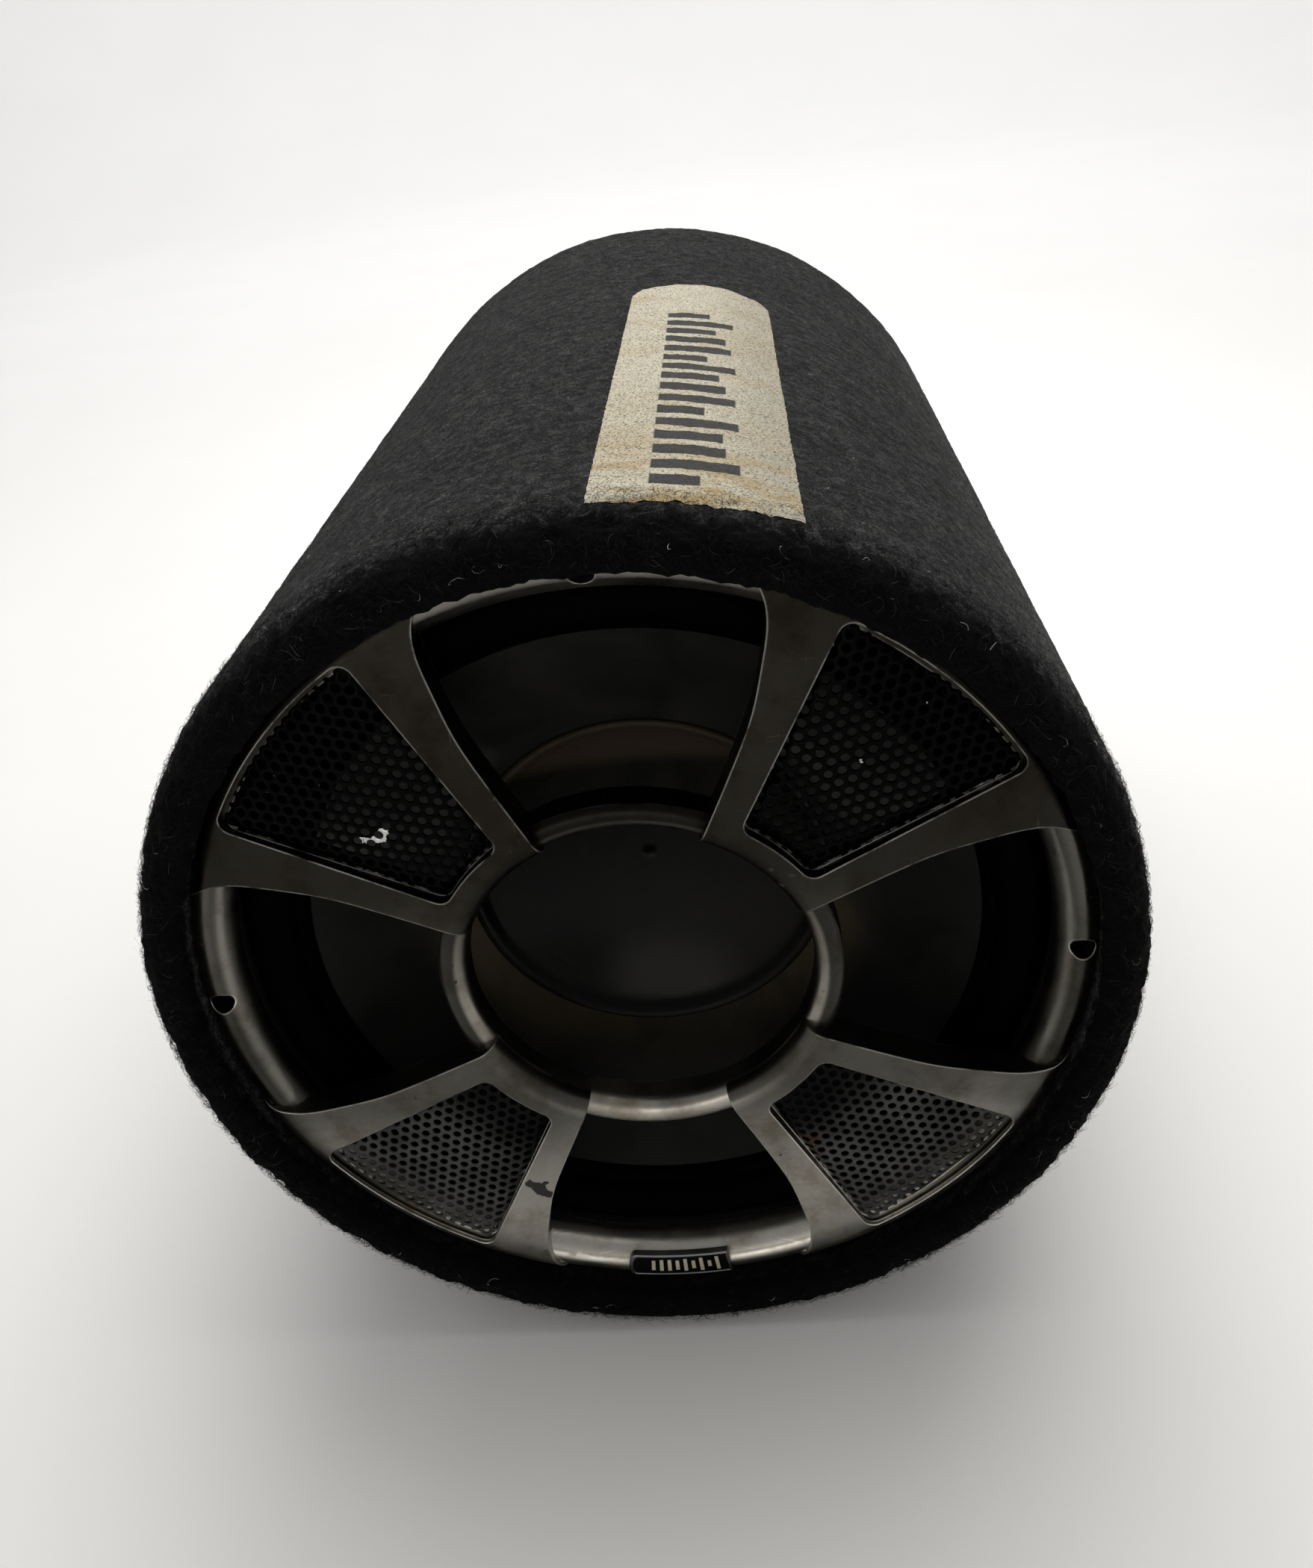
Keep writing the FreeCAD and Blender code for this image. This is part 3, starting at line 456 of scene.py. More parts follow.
def rubber_paint(name, colour=(0.0004,) * 3):
    paint = Paint(name, colour, roughness=0.62, specular_ior_level=0.012)
    dust = paint.noise(22, 4, 0.6)
    paint.colour(paint.ramp(dust, [(0.35, shade_of(colour, 0.6)), (0.75, shade_of(colour, 1.6))]))
    paint.roughness(paint.band(dust, 0.3, 0.7, 0.55, 0.72))
    paint.bump(paint.noise(1400, 3, 0.6), 0.05 * MM, 0.5)
    return paint.material


def cone_paint():
    """Filled polypropylene: mottled satin, a painted brown reflection round the lower part of the cap,
    painted light that pales it towards the top and behind the upper meshes, a haze of dust, fine turning
    marks.
    """
    paint = Paint("cone_skin", (0.01,) * 3, roughness=0.42, specular_ior_level=0.06)
    side, up, r = paint.from_axis()
    mottle = paint.noise(26, 5, 0.62, 0.6)
    base = paint.ramp(mottle, [(0.3, (0.0050,) * 3), (0.72, (0.0110, 0.0108, 0.0102))])
    # painted light: the cone is darker towards the bottom and paler towards the top
    lower = paint.band(up, -95, 5, 0.30, 1.15)
    upper = paint.plus(lower, paint.band(up, 30, 90, 0.0, 0.55))
    # painted reflection: a warm brown tone on the cone round the lower part of the cap
    near_cap = paint.times(paint.band(r, 94, 76), paint.band(up, 10, -30))
    brown = paint.times(near_cap, paint.band(mottle, 0.35, 0.6, 0.5, 0.95))
    base = paint.mix(brown, base, (0.055, 0.042, 0.024))

    # painted light: a paler patch on the cone behind the two upper meshes, which lie 35 degrees over the
    # horizontal
    toward = paint.plus(paint.times(paint.math("ABSOLUTE", side), 0.82), paint.times(up, 0.57))
    toward = paint.band(paint.math("DIVIDE", toward, r), 0.93, 0.975)
    lit_behind_mesh = paint.times(toward, paint.band(r, 74, 84))
    base = paint.scaled(base, paint.plus(upper, paint.times(lit_behind_mesh, 3.2)))
    flecks = paint.band(paint.cells(330), 0.07, 0.04)
    lint = paint.times(flecks, paint.band(paint.noise(45, 2), 0.6, 0.66), 0.6)
    base = paint.mix(lint, base, (0.09, 0.085, 0.08))
    paint.colour(base)
    paint.roughness(paint.band(mottle, 0.3, 0.7, 0.33, 0.48))
    paint.bump(paint.math("SINE", paint.times(r, 5.2)), 0.012 * MM, 0.35)
    paint.bump(paint.noise(700, 3, 0.55), 0.05 * MM, 0.4)
    return paint.material


def cap_paint():
    """Moulded cap: smeared gloss, and a painted brown reflection on the upper part of the bowl."""
    paint = Paint("dust_cap_skin", (0.008,) * 3, roughness=0.3, specular_ior_level=0.08,
                  coat_weight=0.04, coat_roughness=0.24)
    smear = paint.noise(14, 5, 0.62, 0.8)
    base = paint.ramp(smear, [(0.36, (0.0006, 0.0006, 0.0005)), (0.68, (0.0090, 0.0085, 0.0074))])
    # painted reflection: a brown tone on the upper part of the bowl
    brown_reflection = paint.band(paint.from_axis()[1], 44, 55)
    paint.colour(paint.mix(brown_reflection, base, (0.030, 0.022, 0.014)))
    paint.roughness(paint.band(smear, 0.3, 0.72, 0.24, 0.42))
    paint.bump(paint.noise(600, 3, 0.55), 0.04 * MM, 0.4)
    paint.bump(paint.noise(30, 2, 0.5), 0.25 * MM, 0.25)
    return paint.material


def mesh_paint():
    """Black enamel on steel, wearing through to bare metal on the bent edges, with a little rust, in
    painted shade on the upper meshes and painted light on the lower ones.
    """
    paint = Paint("mesh_enamel", (0.004,) * 3, roughness=0.30, specular_ior_level=0.03)
    edge = paint.attribute("rim")
    _, up, r = paint.from_axis()
    ragged = paint.noise(330, 4, 0.6)
    patchy = paint.band(paint.noise(26, 2, 0.5), 0.44, 0.54)
    bare = paint.band(paint.plus(edge, paint.times(ragged, 0.9)), 1.05, 1.14)
    bare = paint.times(bare, patchy)
    chips = paint.band(paint.noise(260, 4, 0.55), 0.75, 0.765)
    bare = paint.larger(bare, chips)
    for place_x, place_up, size in CRUMBS:
        edge_at = paint.plus(paint.near(place_x, place_up), paint.times(ragged, 4 * MM))
        spot = paint.band(edge_at, (size + 2.3) * MM, (size + 2.0) * MM)
        bare = paint.larger(bare, spot)
    rust = paint.band(paint.noise(60, 4, 0.6), 0.6, 0.72, 0.0, 0.8)
    stain = paint.times(paint.band(paint.near(53, -86), 11 * MM, 4 * MM), paint.band(ragged, 0.42, 0.6))
    # painted light and shade: a near black tone on the upper meshes and a paler lit tone on the lower ones,
    # which fades towards the hub
    dull = paint.band(paint.noise(18, 4, 0.6), 0.4, 0.75, 0.0, 0.5)
    upper = paint.mix(dull, (0.0001,) * 3, (0.0007, 0.0007, 0.0006))
    lit_mottle = paint.band(paint.noise(30, 4, 0.6), 0.35, 0.65)
    lower = paint.mix(lit_mottle, (0.030, 0.030, 0.0295), (0.072, 0.072, 0.071))
    lower = paint.scaled(lower, paint.band(r, 84, 112, 0.10, 1.0))
    base = paint.mix(paint.band(up, 10, -60), upper, lower)
    base = paint.mix(stain, base, (0.05, 0.022, 0.010))
    metal = paint.mix(rust, (0.55, 0.54, 0.53), (0.17, 0.085, 0.04))
    paint.colour(paint.mix(bare, base, metal))
    paint.metallic(paint.times(bare, 0.85))
    paint.roughness(paint.band(ragged, 0.3, 0.7, 0.22, 0.42))
    paint.bump(paint.noise(900, 2, 0.5), 0.03 * MM, 0.4)
    return paint.material


# pale crumbs stuck on the meshes: (x, height over the axis, size), in millimetres
CRUMBS = [
    (-85.6, 67.4, 1.0), (-83.2, 67.2, 1.3), (-80.8, 67.4, 1.3), (-78.4, 67.9, 1.4), (-77.0, 70.4, 1.5),
    (66, 88, 0.2), (80, 83, 0.3),
]


def label_paint():
    """Cream ink on felt: black pile shows through, brown stains, and a row of level-meter bars."""
    paint = Paint("label_ink", (0.62, 0.56, 0.42), roughness=0.8)
    across = paint.attribute("across")
    along = paint.attribute("along")
    speck = paint.noise(1300, 3, 0.65, 0.8)
    blotch = paint.noise(26, 5, 0.65, 0.6)
    cream, pale, tan = (0.56, 0.51, 0.38), (0.62, 0.57, 0.44), (0.50, 0.40, 0.23)
    base = paint.ramp(blotch, [(0.3, cream), (0.55, pale), (0.75, tan)])
    base = paint.scaled(base, paint.band(across, -5 * MM, 30 * MM, 1.0, 0.74))
    stain_line = paint.noise(34, 4, 0.6, 0.5, stretch=(0.5, 1.8, 1))
    front_stain = paint.band(along, 85 * MM, 0.0)
    stained = paint.times(paint.band(stain_line, 0.46, 0.62), paint.plus(front_stain, 0.25), 0.75)
    base = paint.mix(stained, base, (0.42, 0.30, 0.12))

    # sixteen bars across the label, each as long as a sine of its number says
    first_bar, bar_pitch, bar_share, bar_count = 14 * MM, 14.8 * MM, 0.62, 16
    left_end, shortest, longer = 14.5 * MM, 16 * MM, 13 * MM
    steps = paint.math("DIVIDE", paint.minus(along, first_bar), bar_pitch)
    index = paint.math("FLOOR", steps)
    phase = paint.math("FRACT", steps)
    level = paint.math("ABSOLUTE", paint.math("SINE", paint.times(index, 1.9)))
    reach = paint.plus(paint.times(level, longer), shortest)
    side = paint.plus(across, left_end)
    blur = 0.6 * MM
    bar = paint.times(paint.band(side, 0.0, blur), paint.band(paint.minus(reach, side), 0.0, blur))
    bar = paint.times(bar, paint.math("LESS_THAN", phase, bar_share))
    started = paint.math("GREATER_THAN", index, -0.5)
    ended = paint.math("LESS_THAN", index, bar_count - 0.5)
    bar = paint.times(bar, started, ended)
    base = paint.mix(bar, base, (0.006, 0.006, 0.0065))
    holes = paint.band(speck, 0.49, 0.42, 0.0, 0.82)
    base = paint.mix(holes, base, (0.05, 0.045, 0.035))
    paint.colour(base)
    paint.bump(paint.noise(620, 6, 0.72, 2.2), 0.5 * MM, 0.8)
    return paint.material


def board_paint(name, light, dark):
    """Pressed wood fibre: flecks of two tones."""
    paint = Paint(name, light, roughness=0.8)
    chips = paint.noise(720, 4, 0.6, 0.6)
    paint.colour(paint.ramp(chips, [(0.35, dark), (0.65, light)]))
    paint.bump(chips, 0.2 * MM, 0.5)
    return paint.material


def wool_paint(name, colour):
    paint = Paint(name, colour, roughness=0.95, sheen_weight=0.4)
    wisps = paint.noise(90, 6, 0.7, 2.0)
    paint.colour(paint.ramp(wisps, [(0.3, shade_of(colour, 0.55)), (0.7, colour)]))
    paint.bump(wisps, 3 * MM, 0.7)
    return paint.material


def weave_paint(name, colour):
    """Resin-stiffened cloth: crossed threads."""
    paint = Paint(name, colour, roughness=0.7)
    x, _, z = paint.split(paint.where)
    warp = paint.math("SINE", paint.times(x, 2800))
    weft = paint.math("SINE", paint.times(z, 2800))
    threads = paint.times(warp, weft)
    paint.colour(paint.ramp(paint.band(threads, -1, 1), [(0.2, shade_of(colour, 0.5)), (0.8, colour)]))
    paint.bump(threads, 0.15 * MM, 0.5)
    return paint.material


# ---------------------------------------------------------------- mesh helpers
def free_piece(name, verts, faces, paint, smooth=True):
    """Piece that rides on no body yet."""
    mesh = bpy.data.meshes.new(name)
    mesh.from_pydata([tuple(v) for v in verts], [], faces)
    mesh.validate()
    mesh.materials.append(paint)
    mesh.polygons.foreach_set("use_smooth", [smooth] * len(mesh.polygons))
    return put(name, mesh)


def new_piece(name, verts, faces, paint, body=BODY, smooth=True):
    piece = free_piece(name, verts, faces, paint, smooth)
    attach(piece, body)
    return piece


def unit(value):
    """The value, kept between 0 and 1."""
    return max(0.0, min(1.0, value))


def polar(r, angle, depth):
    """Point at this radius and angle in radians, counter-clockwise from +X as seen from the front."""
    return Vector((r * cos(angle), FRONT + depth, AXIS_Z + r * sin(angle)))


def arc(centre, radii, start, end, count):
    """Points of an elliptical arc in (radius, depth), angles in degrees from the radial direction."""
    angles = np.radians(np.linspace(start, end, count))
    return [(centre[0] + radii[0] * cos(a), centre[1] + radii[1] * sin(a)) for a in angles]


def run(start, end, step):
    count = max(1, round(dist(start, end) / step))
    ts = np.linspace(0, 1, count + 1)
    return [(start[0] + (end[0] - start[0]) * t, start[1] + (end[1] - start[1]) * t) for t in ts]


def without_repeats(path):
    kept = [path[0]]
    for p in path[1:]:
        if dist(p, kept[-1]) > 1e-6:
            kept.append(p)
    return kept


def spun(path, around):
    """Vertices and quads of a closed (radius, depth) path turned about the tube's axis."""
    path = without_repeats(path)
    n = len(path)
    turn = np.linspace(0, 2 * pi, around, endpoint=False)
    verts = [polar(r, a, d) for a in turn for r, d in path]
    faces = []
    for i in range(around):
        j = (i + 1) % around
        for k in range(n):
            m = (k + 1) % n
            faces.append((i * n + k, j * n + k, j * n + m, i * n + m))
    return verts, faces


def keep_outside(piece, weld=0.0):
    """Turns every face outwards, after joining the points that lie within weld of each other."""
    work = bmesh.new()
    work.from_mesh(piece.data)
    if weld:
        bmesh.ops.remove_doubles(work, verts=work.verts, dist=weld)
    bmesh.ops.recalc_face_normals(work, faces=work.faces)
    work.to_mesh(piece.data)
    work.free()


def give_values(piece, name, values):
    """Adds a number per vertex that the materials read by name."""
    piece.data.attributes.new(name, "FLOAT", "POINT").data.foreach_set("value", values)


# ---------------------------------------------------------------- felt
def lip_share(depth):
    """1 on the plush front lip, 0 on the tube's side."""
    return unit((28 * MM - depth) / (14 * MM))


def felt_relief(point):
    """How far the felt stands off its even surface at a point, in metres."""
    lip = lip_share(point.y - FRONT)
    lump = noise.noise(point * 26.0) * 0.55 * MM
    clump = noise.noise(point * 150.0) * (0.30 + 0.90 * lip) * MM
    tuft = noise.noise(point * 420.0) * (0.30 + 0.65 * lip) * MM
    return lump + clump + tuft


def wrap_path():
    """Outer surface of the felt in (radius, depth), from the rear fold over the lip to the baffle."""
    r_in, length = OUTER_R - 15 * MM, LENGTH
    path = run((r_in, length - 9 * MM), (r_in, length - 2.5 * MM), 2 * MM)
    path += arc((r_in + 2.5 * MM, length - 2.5 * MM), (2.5 * MM, 2.5 * MM), 180, 90, 5)
    path += run((r_in + 2.5 * MM, length), (OUTER_R - 4 * MM, length), 2.2 * MM)
    path += arc((OUTER_R - 4 * MM, length - 4 * MM), (4 * MM, 4 * MM), 90, 0, 6)
    path += run((OUTER_R, length - 4 * MM), (OUTER_R, LIP_DEPTH), 2.3 * MM)
    path += arc((CROWN_R, LIP_DEPTH), (10 * MM, LIP_RISE), 0, -90, 24)
    path += arc((CROWN_R, 8 * MM), (7 * MM, 5 * MM), -90, -180, 9)
    path += run((r_in - 1.8 * MM, 9.5 * MM), (r_in - 1.4 * MM, 13 * MM), 1.8 * MM)
    path += run((r_in - 0.8 * MM, 15 * MM), (r_in, 19 * MM), 2 * MM)
    path += run((r_in, 21 * MM), (r_in, 42 * MM), 2.2 * MM)
    return without_repeats(path)


def make_wrap(paint):
    path = wrap_path()
    count = len(path)
    around = 520
    inner = [(OUTER_R - 12.5 * MM, 42 * MM), (OUTER_R - 12.2 * MM, 11 * MM), (OUTER_R - 9.5 * MM, 5.9 * MM)]
    inner += [(OUTER_R - 5 * MM, 12 * MM), (OUTER_R - 2.7 * MM, 27 * MM)]
    inner += [(OUTER_R - 2.7 * MM, LENGTH - 5 * MM)]
    inner += [(OUTER_R - 12 * MM, LENGTH - 2.7 * MM), (OUTER_R - 12.5 * MM, LENGTH - 9 * MM)]
    verts, faces = spun(path + inner, around)
    ring = count + len(inner)
    grid = np.array([tuple(v) for v in verts]).reshape(around, ring, 3)
    tangents = np.gradient(np.array(path), axis=0)
    tangents /= np.linalg.norm(tangents, axis=1)[:, None]
    for i in range(around):
        a = 2 * pi * i / around
        for k in range(count):
            nr, nd = tangents[k][1], -tangents[k][0]
            normal = -Vector((nr * cos(a), nd, nr * sin(a)))
            point = Vector(grid[i, k])
            fade = min(1.0, k / 3, (count - 1 - k) / 3)
            rise = felt_relief(point) * fade
            if point.z < 12 * MM:
                rise = min(rise, 0.0)
            point += normal * rise
            if path[k][1] < 18 * MM and path[k][0] < CROWN_R:
                lean = (CROWN_R - path[k][0]) / (7 * MM) * max(0.0, sin(a))
                point -= Vector((cos(a), 0, sin(a))) * lean * 1.3 * MM
            grid[i, k] = point
    piece = new_piece("felt_wrap", grid.reshape(-1, 3), faces, paint)
    keep_outside(piece)
    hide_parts("carpet_wrap")


def in_label(angle, depth):
    """Whether a point of the tube's side lies under the label."""
    turn = radians(90 - LABEL_TURN)
    across = (angle - turn + pi) % (2 * pi) - pi
    side, half = abs(across) * OUTER_R, LABEL_HALF - 1 * MM
    end = max(0.0, depth - LABEL_BACK)
    return side < half and LABEL_FRONT + 1 * MM < depth and hypot(side if end else 0, end) < half


def fibre_strip(verts, faces, root, normal, along, length, rise, bend, spin, width):
    """One loose fibre as a thin ribbon that leaves the felt and curls back to it."""
    side = normal.cross(along).normalized()
    base = len(verts)
    steps = 5
    for i in range(steps + 1):
        t = i / steps
        heading = along * cos(bend * t) + side * sin(bend * t)
        place = root + heading * (length * t) + normal * (rise * sin(pi * min(t * 1.15, 1)))
        lie = (side * cos(spin + t) + normal * sin(spin + t)) * width * (1 - 0.6 * t)
        verts.append(place - lie)
        verts.append(place + lie)
    for i in range(steps):
        k = base + 2 * i
        faces.append((k, k + 1, k + 3, k + 2))


def make_fuzz(name, paint, count, where, length, rise, width, curl):
    """Loose fibres over the felt; where() gives a point and its outward normal, or None to skip."""
    verts, faces = [], []
    for _ in range(count):
        place = where()
        if place is None:
            continue
        root, normal = place
        random = Vector(RNG.normal(size=3))
        along = (random - normal * random.dot(normal)).normalized()
        sizes = [RNG.uniform(low * MM, high * MM) for low, high in (length, rise)]
        bend, spin = RNG.uniform(-curl, curl), RNG.uniform(-0.5, 0.5)
        half = RNG.uniform(width[0] * MM, width[1] * MM)
        fibre_strip(verts, faces, root - normal * 0.3 * MM, normal, along, *sizes, bend, spin, half)
    piece = new_piece(name, verts, faces, paint)


def on_side():
    angle = RNG.uniform(0, 2 * pi)
    depth = RNG.uniform(22 * MM, LENGTH - 5 * MM)
    if in_label(angle, depth):
        return None
    normal = Vector((cos(angle), 0, sin(angle)))
    root = polar(OUTER_R, angle, depth)
    if root.z < 16 * MM:
        return None
    return root, normal


def on_lip():
    angle = RNG.uniform(0, 2 * pi)
    t = RNG.uniform(-1.35, 0.1) * pi / 2
    if t > -pi / 2:
        r = CROWN_R + 10 * MM * cos(t)
        depth = LIP_DEPTH + LIP_RISE * sin(t)
        normal = Vector((2 * cos(t) * cos(angle), sin(t), 2 * cos(t) * sin(angle)))
    else:
        r = CROWN_R - 7 * MM * sin(-t - pi / 2)
        depth = 8 * MM - 5 * MM * cos(-t - pi / 2)
        inward = -sin(-t - pi / 2)
        normal = Vector((inward * cos(angle), -cos(-t - pi / 2), inward * sin(angle)))
    root = polar(r, angle, depth)
    if root.z < 5 * MM:
        return None
    return root, normal.normalized()


def on_rear():
    angle = RNG.uniform(0, 2 * pi)
    r = 156 * MM * sqrt(RNG.uniform(0, 1))
    depth = LENGTH - 9 * MM
    x, up = r * cos(angle), r * sin(angle)
    near_port = hypot(x, up - PORT_UP) < PORT_HOLE + 13 * MM
    near_cup = abs(x) < CUP_HALF[0] + 10 * MM and abs(up - CUP_UP) < CUP_HALF[1] + 10 * MM
    if near_port or near_cup:
        return None
    return polar(r, angle, depth), Vector((0, 1, 0))


def make_label(paint):
    """Label that follows the felt under it, with slightly ragged edges."""
    rows = list(np.arange(LABEL_FRONT, LABEL_BACK, 1.6 * MM))
    rows += [LABEL_BACK + LABEL_HALF * sin(t) for t in np.linspace(0, 1.555, 26)]
    columns = np.linspace(-1, 1, 45)
    centre = radians(90 - LABEL_TURN)
    verts, across, along = [], [], []
    for depth in rows:
        over = max(0.0, depth - LABEL_BACK)
        width = sqrt(max(LABEL_HALF**2 - over**2, 1e-9))
        for c in columns:
            s = c * width
            if abs(c) == 1:
                s += c * noise.noise(Vector((depth * 700, c * 3, 0))) * 0.5 * MM
            d = depth
            if depth == rows[0]:
                d += noise.noise(Vector((s * 700, 9, 0))) * 0.5 * MM
            angle = centre - s / OUTER_R
            drop = LIP_DEPTH - min(d, LIP_DEPTH)
            r = CROWN_R + 10 * MM * sqrt(1 - (drop / LIP_RISE) ** 2)
            point = polar(r, angle, d)
            normal = Vector((cos(angle), 0, sin(angle)))
            verts.append(point + normal * (felt_relief(point) + 0.28 * MM))
            across.append(s)
            along.append(d - LABEL_FRONT)
    n = len(columns)
    faces = []
    for i in range(len(rows) - 1):
        for k in range(n - 1):
            faces.append((i * n + k, i * n + k + 1, (i + 1) * n + k + 1, (i + 1) * n + k))
    piece = new_piece("label_print", verts, faces, paint)
    give_values(piece, "across", across)
    give_values(piece, "along", along)
    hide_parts("carpet_label")


# ---------------------------------------------------------------- grille
def window_distance(x, y):
    """Distance inside the mesh window's edge in metres, at local radius x and offset y."""
    inner_r, outer_r = 73.5 * MM, 153.5 * MM
    a = Vector((inner_r * cos(radians(12)), inner_r * sin(radians(12))))
    b = Vector((outer_r * cos(radians(15)), outer_r * sin(radians(15))))
    side = (b - a).normalized()
    to_side = (side.y * (x - a.x) - side.x * (abs(y) - a.y))
    r = hypot(x, y)
    return min(to_side, r - inner_r, outer_r - r)


def mesh_drop(x, y, seed):
    """How far the punched sheet sits behind its flat plane: bent rim, shallow dents, slight crown."""
    inside = window_distance(x, y)
    rim = 1.5 * MM * (1 - unit(inside / (7 * MM))) ** 2
    dent = 1.4 * MM * max(0.0, noise.noise(Vector((x * 42, y * 42, seed))) - 0.12)
    crown = -0.9 * MM * unit(inside / (24 * MM))
    rise = -1.5 * MM * unit((150 * MM - x) / (60 * MM)) * unit(inside / (3 * MM))
    return rim + dent + crown + rise


def punched_cell(verts, faces, rims, cx, cy, seed, pitch):
    """One hexagon of the sheet with its round hole, whose upper edge is eased."""
    sides = 18
    hole = 1.55 * MM
    flat = pitch / sqrt(3)
    base = len(verts)
    front, eased, back = [], [], []
    for i in range(sides):
        a = 2 * pi * i / sides
        sector = (a % (pi / 3)) - pi / 6
        edge_r = flat * cos(pi / 6) / cos(sector)
        ca, sa = cos(a), sin(a)
        front.append((cx + edge_r * ca, cy + edge_r * sa, 0.0))
        eased.append((cx + (hole + 0.16 * MM) * ca, cy + (hole + 0.16 * MM) * sa, 0.02 * MM))
        back.append((cx + hole * ca, cy + hole * sa, 0.16 * MM))
    deep = [(x, y, 0.8 * MM) for x, y, _ in back]
    outer_back = [(x, y, 0.8 * MM) for x, y, _ in front]
    for ring in (front, eased, back, deep, outer_back):
        for x, y, d in ring:
            verts.append(Vector((x, d + mesh_drop(x, y, seed), y)))
            rims.append(1 - unit(window_distance(x, y) / (2.6 * MM)))
    for k in range(4):
        for i in range(sides):
            j = (i + 1) % sides
            p, q = base + k * sides, base + (k + 1) * sides
            faces.append((p + i, p + j, q + j, q + i))


def make_mesh(place, angle, paint):
    """Punched steel sheet behind one window, its rows square to the frame's middle line."""
    pitch, seed = 4.6 * MM, angle * 0.37
    row_gap = pitch * sqrt(3) / 2
    verts, faces, rims = [], [], []
    for row in range(26):
        x = 69.0 * MM + row * row_gap
        for column in range(-12, 13):
            y = (column + 0.5 * (row % 2)) * pitch
            if window_distance(x, y) > -2.7 * MM and hypot(x, y) < 155.6 * MM:
                punched_cell(verts, faces, rims, x, y, seed, pitch)
    a = radians(angle)
    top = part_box("mesh_insert_" + place)[0].y - FRONT
    placed = [polar(hypot(v.x, v.z), a + atan2(v.z, v.x), top + v.y) for v in verts]
    piece = new_piece("punched_mesh_" + place, placed, faces, paint)
    give_values(piece, "rim", rims)
    keep_outside(piece, weld=0.02 * MM)
    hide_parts("mesh_insert_" + place)


def make_badge(plate_paint, rim_paint, bar_paint):
    """Small plate on the ring's lowest point: black field, bright rim, plain level bars."""
    middle = radians(-90)
    half, r0, r1 = radians(7.4), 145.7 * MM, 157.7 * MM
    mid_r, tall = (r0 + r1) / 2, (r1 - r0) / 2

    def outline(inset):
        rim = []
        sweep = half - inset / mid_r
        for t in np.linspace(-sweep, sweep, 24):
            rim.append((r1 - inset, middle + t))
        for t in np.linspace(sweep, -sweep, 24):
            rim.append((r0 + inset, middle + t))
        for t in np.linspace(0, pi, 14)[1:-1]:
            bulge = 0.45 * (tall - inset) * sin(t) / mid_r
            rim.append((mid_r - (tall - inset) * cos(t), middle - sweep - bulge))
        return rim

    def plate(name, rings, paint):
        """Closed plate through outlines given as (inset, depth), from back to front."""
        verts, faces = [], []
        n = len(outline(0))
        for inset, depth in rings:
            verts += [polar(r, a, depth) for r, a in outline(inset)]
        for k in range(len(rings) - 1):
            for i in range(n):
                j = (i + 1) % n
                faces.append((k * n + i, k * n + j, (k + 1) * n + j, (k + 1) * n + i))
        faces.append(tuple(range((len(rings) - 1) * n, len(rings) * n)))
        faces.append(tuple(reversed(range(n))))
        piece = new_piece(name, verts, faces, paint, smooth=False)
        keep_outside(piece)
        return piece

    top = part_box("badge")[0].y - FRONT
    steps = [(0.0, 3.0), (0.0, 0.35), (0.35, 0.0), (0.95, 0.0), (1.1, 0.4)]
    rim = plate("badge_rim", [(inset * MM, top + back * MM) for inset, back in steps], rim_paint)
    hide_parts("badge")
    field = plate("badge_field", [(1.05 * MM, top + 1.2 * MM), (1.05 * MM, top + 0.3 * MM)], plate_paint)
    verts, faces = [], []
    for i in range(9):
        t = middle + radians(-4.6 + 1.25 * i)
        tallness = (1.6 + 2.2 * abs(sin(1.7 * i + 0.6))) * MM
        w = 0.75 * MM / mid_r
        base = len(verts)
        for depth in (top + 0.18 * MM, top + 0.5 * MM):
            for out, turned in ((-1, -1), (1, -1), (1, 1), (-1, 1)):
                verts.append(polar(mid_r + out * tallness, t + turned * w, depth))
        ends = [(0, 1, 2, 3), (7, 6, 5, 4)]
        sides = [(k, k + 4, (k + 1) % 4 + 4, (k + 1) % 4) for k in range(4)]
        faces += [tuple(base + k for k in face) for face in ends + sides]
    bars = new_piece("badge_bars", verts, faces, bar_paint, smooth=False)
    keep_outside(bars)


# ---------------------------------------------------------------- driver
CONE_RIM_R, CONE_RIM_DEPTH, CONE_SLOPE = 127 * MM, 42 * MM, 0.644


def cone_depth(r):
    return CONE_RIM_DEPTH + (CONE_RIM_R - r) * CONE_SLOPE


def make_cone(paint):
    """Straight cone whose outer edge is eased."""
    neck = 25.8 * MM
    front = [(r, cone_depth(r)) for r in np.linspace(neck, 70 * MM, 10)]
    front += [(r, cone_depth(r)) for r in np.linspace(73 * MM, 122 * MM, 16)]
    front += [(125.5 * MM, cone_depth(125.5 * MM) + 0.05 * MM)]
    front += [(126.9 * MM, cone_depth(126.9 * MM) + 0.3 * MM)]
    drop = 1.2 * MM * hypot(1, CONE_SLOPE)
    back = [(126.9 * MM, cone_depth(126.9 * MM) + 1.2 * MM)]
    back += [(r, cone_depth(r) + drop) for r in np.linspace(125 * MM, neck, 12)]
    verts, faces = spun(front + back, 192)
    piece = new_piece("cone_body", verts, faces, paint, CONE)
    keep_outside(piece)
    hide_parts("cone")


